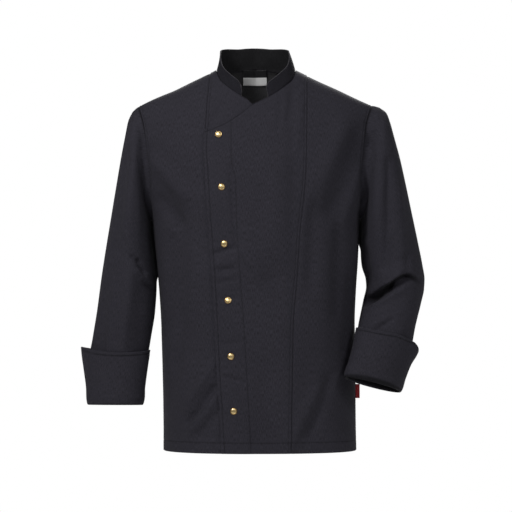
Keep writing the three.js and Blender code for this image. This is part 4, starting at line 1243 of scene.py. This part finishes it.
# %% [markdown]
# Topstitching holds every turned edge down. A stitch is a short thick bead of thread that dips into the
# cloth at both ends. One is modelled, and copies of it follow the rows, about eight to an inch. As a
# texture it would blur when seen close, and as one long cord it would look like piping.
# %% Stitches
bpy.ops.object.select_all(action="DESELECT")
bpy.ops.mesh.primitive_uv_sphere_add(segments=6, ring_count=4, radius=1.0)
bead = bpy.context.object
bpy.ops.object.mode_set(mode="EDIT")
bpy.ops.mesh.select_all(action="SELECT")
bpy.ops.transform.rotate(value=math.radians(90), orient_axis="Y", center_override=(0, 0, 0))
bpy.ops.transform.resize(value=(1.3, 0.36, 0.3))
bpy.ops.object.mode_set(mode="OBJECT")
BEAD = np.array([v.co[:] for v in bead.data.vertices])
BEAD_FACES = [list(f.vertices) for f in bead.data.polygons]
bpy.data.objects.remove(bead)


def stitch_rows(name, rows, pitch=3.1):
    vertices, faces = [], []
    for points, normals in rows:
        arc = np.concatenate([[0], np.cumsum(np.linalg.norm(np.diff(points, axis=0), axis=1))])
        if arc[-1] < 2 * pitch:
            continue
        at = np.linspace(pitch / 2, arc[-1] - pitch / 2, round(arc[-1] / pitch))
        put = np.stack([np.interp(at, arc, points[:, k]) for k in range(3)], axis=-1)
        up = unit(np.stack([np.interp(at, arc, normals[:, k]) for k in range(3)], axis=-1))
        way = unit(np.gradient(put, axis=0))
        across = unit(np.cross(up, way))
        for place, a, b, c in zip(put, way, across, up):
            start = len(vertices) * len(BEAD)
            vertices.append(place + c * 0.12 + BEAD @ np.array([a, b, c]))
            faces.extend([[start + k for k in face] for face in BEAD_FACES])
    mesh = bpy.data.meshes.new(name)
    mesh.from_pydata((np.concatenate(vertices) * MM).tolist(), [], faces)
    mesh.polygons.foreach_set("use_smooth", np.ones(len(faces), dtype=bool))
    thread = bpy.data.objects.new(name, mesh)
    bpy.context.scene.collection.objects.link(thread)
    bpy.context.view_layer.objects.active = thread
    bpy.ops.object.select_all(action="DESELECT")
    thread.select_set(True)
    bpy.ops.object.mode_set(mode="EDIT")
    bpy.ops.mesh.select_all(action="SELECT")
    bpy.ops.mesh.normals_make_consistent(inside=False)
    bpy.ops.object.mode_set(mode="OBJECT")
    print(name, "stitches", len(vertices))
    return thread


def column(name, index, low=0, high=None):
    points, normals = GRIDS[name]
    return points[low:high, index], normals[low:high, index]


def row(name, distance, from_top=False):
    points, normals = GRIDS[name]
    along = arcs(points, 0)
    if from_top:
        along = along[-1:] - along
    pick = np.argmin(np.abs(along - distance), axis=0)
    j = np.arange(points.shape[1])
    return points[pick, j], normals[pick, j]


STITCH_COLUMN = int(np.argmin(np.abs(SEAM_STEPS - STITCH_AT)))
TOP = -14
threads = {}
for name in ("side_right", "side_left", "centre_under", "centre_over", "back"):
    cloth = "cloth_" + name
    points, normals = GRIDS[cloth]
    low = int(np.argmin(np.abs(points[:, 0, 2] - UNDERARM))) if name == "back" else 2
    lines = [column(cloth, -1 - STITCH_COLUMN, low, TOP), row(cloth, HEM_LINE)]
    if not name.startswith("side"):
        lines.append(column(cloth, STITCH_COLUMN, low, TOP))
    top_points, top_normals = row(cloth, STITCH_AT, True)
    if name == "back":
        for sign in (-1, 1):
            sloped = sign * top_points[:, 0] > 82
            lines.append((top_points[sloped], top_normals[sloped]))
    if name == "centre_over":
        slanted = top_points[:, 0] < VEE_X - 2
        lines.append((top_points[slanted], top_normals[slanted]))
        z = np.arange(-742, -106, 3.0)
        inner = [cloth_point(cloth, float(x), float(h)) for x, h in zip(read(PLACKET_LINE, "z", "x", z), z)]
        lines.append((np.array([p for p, _ in inner]), np.array([n for _, n in inner])))
    threads[name] = stitch_rows("stitches_" + name, lines)
for side in ("right", "left"):
    points, normals = GRIDS["cloth_cuff_" + side]
    ring, facing = row("cloth_cuff_" + side, STITCH_AT, True)
    ring = np.concatenate([ring, ring[:1]])
    facing = np.concatenate([facing, facing[:1]])
    threads["cuff_" + side] = stitch_rows("stitches_cuff_" + side, [(ring, facing)])
top_points, top_normals = row("cloth_collar", COLLAR_LINE, True)
threads["collar"] = stitch_rows("stitches_collar", [(top_points[4:-4], top_normals[4:-4])])

# %% [markdown]
# The cloth is a mid-weight polyester and cotton twill, dyed dark grey. Close up it has fine slanting ribs
# and uneven yarns that run down the piece, and from a step away it looks matt with faint streaks. So the
# material has three scales: ribs, yarn streaks along the grain, and a very soft change of tone.
# %% Cloth material
def new_material(name):
    material = bpy.data.materials.new(name)
    material.use_nodes = True
    nodes = material.node_tree.nodes
    links = material.node_tree.links
    shader = nodes["Principled BSDF"]
    return material, nodes, links, shader


def add_node(nodes, kind, inputs, **settings):
    made = nodes.new("ShaderNode" + kind)
    for key, value in settings.items():
        setattr(made, key, value)
    for key, value in inputs.items():
        made.inputs[key].default_value = value
    return made


def link_mapping(nodes, links, scale, source="grain", turn=0.0):
    if source:
        socket = add_node(nodes, "UVMap", {}, uv_map=source).outputs["UV"]
    else:
        socket = nodes.new("ShaderNodeTexCoord").outputs["Object"]
    mapping = add_node(nodes, "Mapping", {"Scale": scale, "Rotation": (0, 0, turn)})
    links.new(socket, mapping.inputs["Vector"])
    return mapping.outputs["Vector"]


def add_noise(nodes, links, vector, scale, detail):
    noise = add_node(nodes, "TexNoise", {"Scale": scale, "Detail": detail})
    links.new(vector, noise.inputs["Vector"])
    return noise.outputs["Fac"]


def add_ramp(nodes, links, amount, low, high, start=0.0, end=1.0):
    ramp = nodes.new("ShaderNodeValToRGB")
    for element, place, colour in zip(ramp.color_ramp.elements, (start, end), (low, high)):
        element.position = place
        element.color = (*colour, 1)
    links.new(amount, ramp.inputs["Fac"])
    return ramp.outputs["Color"]


def add_range(nodes, links, amount, low, high, start=0.0, end=1.0):
    sizes = {"From Min": start, "From Max": end, "To Min": low, "To Max": high}
    mapped = add_node(nodes, "MapRange", sizes)
    links.new(amount, mapped.inputs["Value"])
    return mapped.outputs["Result"]


def multiply(nodes, links, a, b):
    mixer = add_node(nodes, "Mix", {"Factor": 1.0}, data_type="RGBA", blend_type="MULTIPLY")
    links.new(a, mixer.inputs["A"])
    links.new(b, mixer.inputs["B"])
    return mixer.outputs["Result"]


def add_bump(nodes, links, height, shader, strength, distance):
    relief = add_node(nodes, "Bump", {"Strength": strength, "Distance": distance})
    links.new(height, relief.inputs["Height"])
    links.new(relief.outputs["Normal"], shader.inputs["Normal"])


WARP_SHARE = 0.88
# Painted shade: the darkest that the shade field and the placket line make the colour.
PAINTED_SHADE_DARKEST = 0.25
PLACKET_PAINTED_SHADE_DARKEST = 0.75


def cloth_material(name, colour, streak=0.5, rough=0.88, sheen=0.012, bump=0.22, placket=False):
    material, nodes, links, shader = new_material(name)
    yarn = add_noise(nodes, links, link_mapping(nodes, links, (1050, 130, 1)), 1.0, 4.0)
    weft = add_noise(nodes, links, link_mapping(nodes, links, (60, 700, 1)), 1.0, 2.0)
    tone = add_noise(nodes, links, link_mapping(nodes, links, (1, 1, 1), source=None), 9.0, 2.0)
    ribs = {"Scale": 1.0, "Distortion": 0.6, "Detail": 1.0}
    twill = add_node(nodes, "TexWave", ribs, wave_type="BANDS")
    slanted = link_mapping(nodes, links, (330, 330, 1), turn=math.radians(60))
    links.new(slanted, twill.inputs["Vector"])
    weft_part = add_node(nodes, "Math", {1: 1 - WARP_SHARE}, operation="MULTIPLY")
    links.new(weft, weft_part.inputs[0])
    blend = add_node(nodes, "Math", {1: WARP_SHARE}, operation="MULTIPLY_ADD")
    links.new(yarn, blend.inputs[0])
    links.new(weft_part.outputs[0], blend.inputs[2])
    dark = [c * (1 - streak) for c in colour]
    light = [c * (1 + streak) for c in colour]
    streaks = add_ramp(nodes, links, blend.outputs[0], dark, light, 0.3, 0.7)
    tones = add_ramp(nodes, links, tone, (0.84, 0.84, 0.85), (1.12, 1.12, 1.12))
    colour_out = multiply(nodes, links, streaks, tones)
    # The colour darkens by the painted shade field: shade painted in seams, stitch channels, the elbow fold
    # and the cuff opening.
    painted_darkening = add_node(nodes, "Attribute", {}, attribute_name="painted_shade").outputs["Fac"]
    colour_out = multiply(nodes, links, colour_out, add_range(nodes, links, painted_darkening, 1.0, PAINTED_SHADE_DARKEST))
    # Painted shade in the channel of the placket's inner row of stitches.
    if placket:
        away = add_node(nodes, "Attribute", {}, attribute_name="placket_away")
        size = add_node(nodes, "Math", {}, operation="ABSOLUTE")
        links.new(away.outputs["Fac"], size.inputs[0])
        line = add_range(nodes, links, size.outputs[0], PLACKET_PAINTED_SHADE_DARKEST, 1.0, 0.2, 1.5)
        colour_out = multiply(nodes, links, colour_out, line)
    links.new(colour_out, shader.inputs["Base Color"])
    height = add_node(nodes, "Math", {1: 0.5}, operation="MULTIPLY_ADD")
    links.new(twill.outputs["Fac"], height.inputs[0])
    links.new(blend.outputs[0], height.inputs[2])
    add_bump(nodes, links, height.outputs[0], shader, bump, 0.0004)
    roughness = add_range(nodes, links, yarn, rough - 0.06, min(1.0, rough + 0.08))
    links.new(roughness, shader.inputs["Roughness"])
    shader.inputs["Specular IOR Level"].default_value = 0.12
    shader.inputs["Sheen Weight"].default_value = sheen
    shader.inputs["Sheen Roughness"].default_value = 0.5
    return material


TWILL = (0.0205, 0.0194, 0.0256)
OUTER = cloth_material("twill_outer", TWILL)
OUTER_PLACKET = cloth_material("twill_placket", TWILL, placket=True)
# The inner faces take the same twill, painted about twice as light to make up for the little light that
# reaches inside.
INSIDE_PAINTED_LIGHTER = cloth_material("twill_inside_painted_lighter", (0.046, 0.0455, 0.0480), streak=0.3)
COLLAR_OUT = cloth_material("collar_outer", (0.0095, 0.0090, 0.0122))
COLLAR_IN = cloth_material("collar_inner", (0.0088, 0.0087, 0.0096), streak=0.5, rough=0.8)
# Painted highlight: a paler cloth on the rim, where light catches the folded edge.
COLLAR_RIM_HIGHLIGHT = cloth_material("collar_rim_painted_highlight", (0.040, 0.038, 0.043), streak=0.3)
THREAD = cloth_material("thread", (0.0130, 0.0124, 0.0156), streak=0.3, rough=0.7, sheen=0.0)
print("materials for cloth:", len(bpy.data.materials))

# %% [markdown]
# Brass that has been plated and handled: pale gold on the dome and clouded by fine wear, with a second and
# darker finish on the rim: partly its darker edge and partly painted shadow where the cap meets the cloth.
# The woven tapes are satin, with a ground finer than the cloth.
# %% Brass and tapes
def brass_material(name, low, high):
    material, nodes, links, shader = new_material(name)
    cloud = add_noise(nodes, links, link_mapping(nodes, links, (1, 1, 1), source=None), 420.0, 4.0)
    links.new(add_ramp(nodes, links, cloud, low, high, 0.25, 0.65), shader.inputs["Base Color"])
    links.new(add_range(nodes, links, cloud, 0.42, 0.24), shader.inputs["Roughness"])
    shader.inputs["Metallic"].default_value = 1.0
    return material


def tape_material(name, low, high, rough):
    material, nodes, links, shader = new_material(name)
    rib = add_node(nodes, "TexWave", {"Scale": 1.0, "Distortion": 0.4})
    links.new(link_mapping(nodes, links, (60, 520, 1), turn=math.radians(90)), rib.inputs["Vector"])
    links.new(add_ramp(nodes, links, rib.outputs["Fac"], low, high), shader.inputs["Base Color"])
    add_bump(nodes, links, rib.outputs["Fac"], shader, 0.2, 0.0002)
    shader.inputs["Roughness"].default_value = rough
    return material


BRASS = brass_material("antique_brass", (0.36, 0.25, 0.10), (0.70, 0.54, 0.28))
# Darker rim finish: partly the cap's darker edge, partly painted shadow where it meets the cloth.
BRASS_RIM_AND_SHADOW = brass_material("brass_rim_and_painted_shadow", (0.10, 0.055, 0.018), (0.26, 0.16, 0.06))
TAPE_BLACK = tape_material("tape_black", (0.006, 0.006, 0.007), (0.016, 0.016, 0.018), 0.5)
TAPE_WHITE = tape_material("tape_white", (0.70, 0.70, 0.70), (0.88, 0.88, 0.88), 0.7)
TAPE_RED = tape_material("tape_red", (0.28, 0.004, 0.010), (0.46, 0.012, 0.020), 0.55)

SPECIAL_FINISH = {
    "cloth_centre_over": (OUTER_PLACKET, INSIDE_PAINTED_LIGHTER),
    "cloth_collar": (COLLAR_OUT, COLLAR_IN, COLLAR_RIM_HIGHLIGHT),
    "tape_neck": (TAPE_BLACK, TAPE_BLACK),
    "tape_care": (TAPE_WHITE, TAPE_WHITE),
    "tape_side": (TAPE_RED, TAPE_RED),
}
for name, piece in PIECES.items():
    for material in SPECIAL_FINISH.get(name, (OUTER, INSIDE_PAINTED_LIGHTER)):
        piece.data.materials.append(material)
for snap in snap_pieces:
    snap.data.materials.append(BRASS)
    snap.data.materials.append(BRASS_RIM_AND_SHADOW)
for thread in threads.values():
    thread.data.materials.append(THREAD)
print("finished pieces:", len(PIECES) + len(snap_pieces) + len(threads))

# %% [markdown]
# Each new piece is listed with the solid it stands for, its finish and the pieces it rides on. It is attached
# to the root body and that solid is hidden; the finish and the pieces listed are not used here. The cut size
# and area of each cloth are printed when it is made: cloth can't grow by hanging.
SIDES = ["cloth_side_right", "cloth_side_left"]
DECLARED = {
    "cloth_side_right": ("front_side_right", "cloth", ["cloth_back"]),
    "cloth_side_left": ("front_side_left", "cloth", ["cloth_back"]),
    "cloth_centre_under": ("front_center_right", "cloth", ["cloth_side_right"]),
    "cloth_centre_over": ("front_center_left", "cloth", ["cloth_side_left", "cloth_centre_under"]),
    "cloth_back": ("back", "cloth", SIDES),
    "cloth_sleeve_right": ("sleeve_right", "cloth", ["cloth_side_right", "cloth_back"]),
    "cloth_sleeve_left": ("sleeve_left", "cloth", ["cloth_side_left", "cloth_back"]),
    "cloth_cuff_right": ("cuff_right", "cloth", ["cloth_sleeve_right"]),
    "cloth_cuff_left": ("cuff_left", "cloth", ["cloth_sleeve_left"]),
    "cloth_collar": ("collar", "collar_cloth", ["cloth_back", "cloth_centre_under", "cloth_centre_over"]),
    "tape_neck": ("neck_label", "black_tape", ["cloth_back"]),
    "tape_care": ("care_label", "white_tape", ["cloth_back"]),
    "tape_side": ("side_label", "red_tape", ["cloth_side_left"]),
}
for name, (node, slot, holders) in DECLARED.items():
    piece = PIECES[name]
    points, _ = GRIDS[name]
    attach(piece, "root")
    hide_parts(node)
for number, snap in enumerate(snap_pieces, 1):
    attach(snap, "root")
    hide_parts("snap_%d" % number)
for thread in threads.values():
    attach(thread, "root")
print("pieces declared:", len(DECLARED) + len(snap_pieces) + len(threads))

# %% [markdown]
# The photograph is lit like a catalogue picture: a soft key light from the front left, a weaker one from
# the right, a broad one high in front, and a white ground. One more light is behind, for looks from there.
# The jacket floats, so the pale floor lies well below it. The Standard view keeps the ground truly white;
# a filmic one would turn it grey.
# %% Floor, lights and camera
FLOOR_Z = -1.45
CAMERA_AWAY = 6.0
CAMERA_Z = -0.372
HALF_VIEW = 0.512
bpy.ops.object.select_all(action="DESELECT")
bpy.ops.mesh.primitive_plane_add(size=5.0, location=(0, 0, FLOOR_Z))
floor = bpy.context.object
floor.name = "floor"
paint, nodes, links, shader = new_material("floor_paint")
speck = add_noise(nodes, links, link_mapping(nodes, links, (1, 1, 1), source=None), 30.0, 2.0)
pale = add_ramp(nodes, links, speck, (0.80, 0.80, 0.79), (0.84, 0.84, 0.83))
links.new(pale, shader.inputs["Base Color"])
shader.inputs["Roughness"].default_value = 0.9
floor.data.materials.append(paint)


def soft_light(name, place, target, size, watts):
    data = bpy.data.lights.new(name, "AREA")
    data.shape = "RECTANGLE"
    data.size = size[0]
    data.size_y = size[1]
    data.energy = watts
    lamp = bpy.data.objects.new(name, data)
    bpy.context.scene.collection.objects.link(lamp)
    way = Vector(target) - Vector(place)
    lamp.matrix_world = Matrix.Translation(place) @ way.to_track_quat("-Z", "Y").to_matrix().to_4x4()
    return lamp


soft_light("key", (-1.5, -1.8, 1.3), (0, 0, -0.15), (0.7, 0.7), 56)
soft_light("fill", (2.2, -2.2, 1.2), (0, 0, -0.2), (1.0, 1.0), 31)
soft_light("front", (-0.2, -4.6, 1.8), (0, 0, -0.1), (1.2, 1.2), 28)
soft_light("back", (0.4, 3.0, 1.5), (0, 0, -0.35), (1.2, 1.2), 115)

scene = bpy.context.scene
scene.view_settings.view_transform = "Standard"

world = bpy.data.worlds.new("studio")
world.use_nodes = True
scene.world = world
nodes, links = world.node_tree.nodes, world.node_tree.links
ground = nodes["Background"]
ground.inputs["Color"].default_value = (1, 1, 1, 1)
ground.inputs["Strength"].default_value = 0.22
seen = add_node(nodes, "Background", {"Color": (1, 1, 1, 1), "Strength": 1.0})
path = nodes.new("ShaderNodeLightPath")
choose = nodes.new("ShaderNodeMixShader")
links.new(path.outputs["Is Camera Ray"], choose.inputs[0])
links.new(ground.outputs[0], choose.inputs[1])
links.new(seen.outputs[0], choose.inputs[2])
links.new(choose.outputs[0], nodes["World Output"].inputs["Surface"])

camera_data = bpy.data.cameras.new("camera")
camera_data.sensor_width = 36
camera_data.lens = camera_data.sensor_width / 2 * CAMERA_AWAY / HALF_VIEW
camera = bpy.data.objects.new("camera", camera_data)
scene.collection.objects.link(camera)
camera.location = (0, -CAMERA_AWAY, CAMERA_Z)
camera.rotation_euler = (math.radians(90), 0, 0)
scene.camera = camera
print("lens, mm:", round(camera_data.lens, 1))
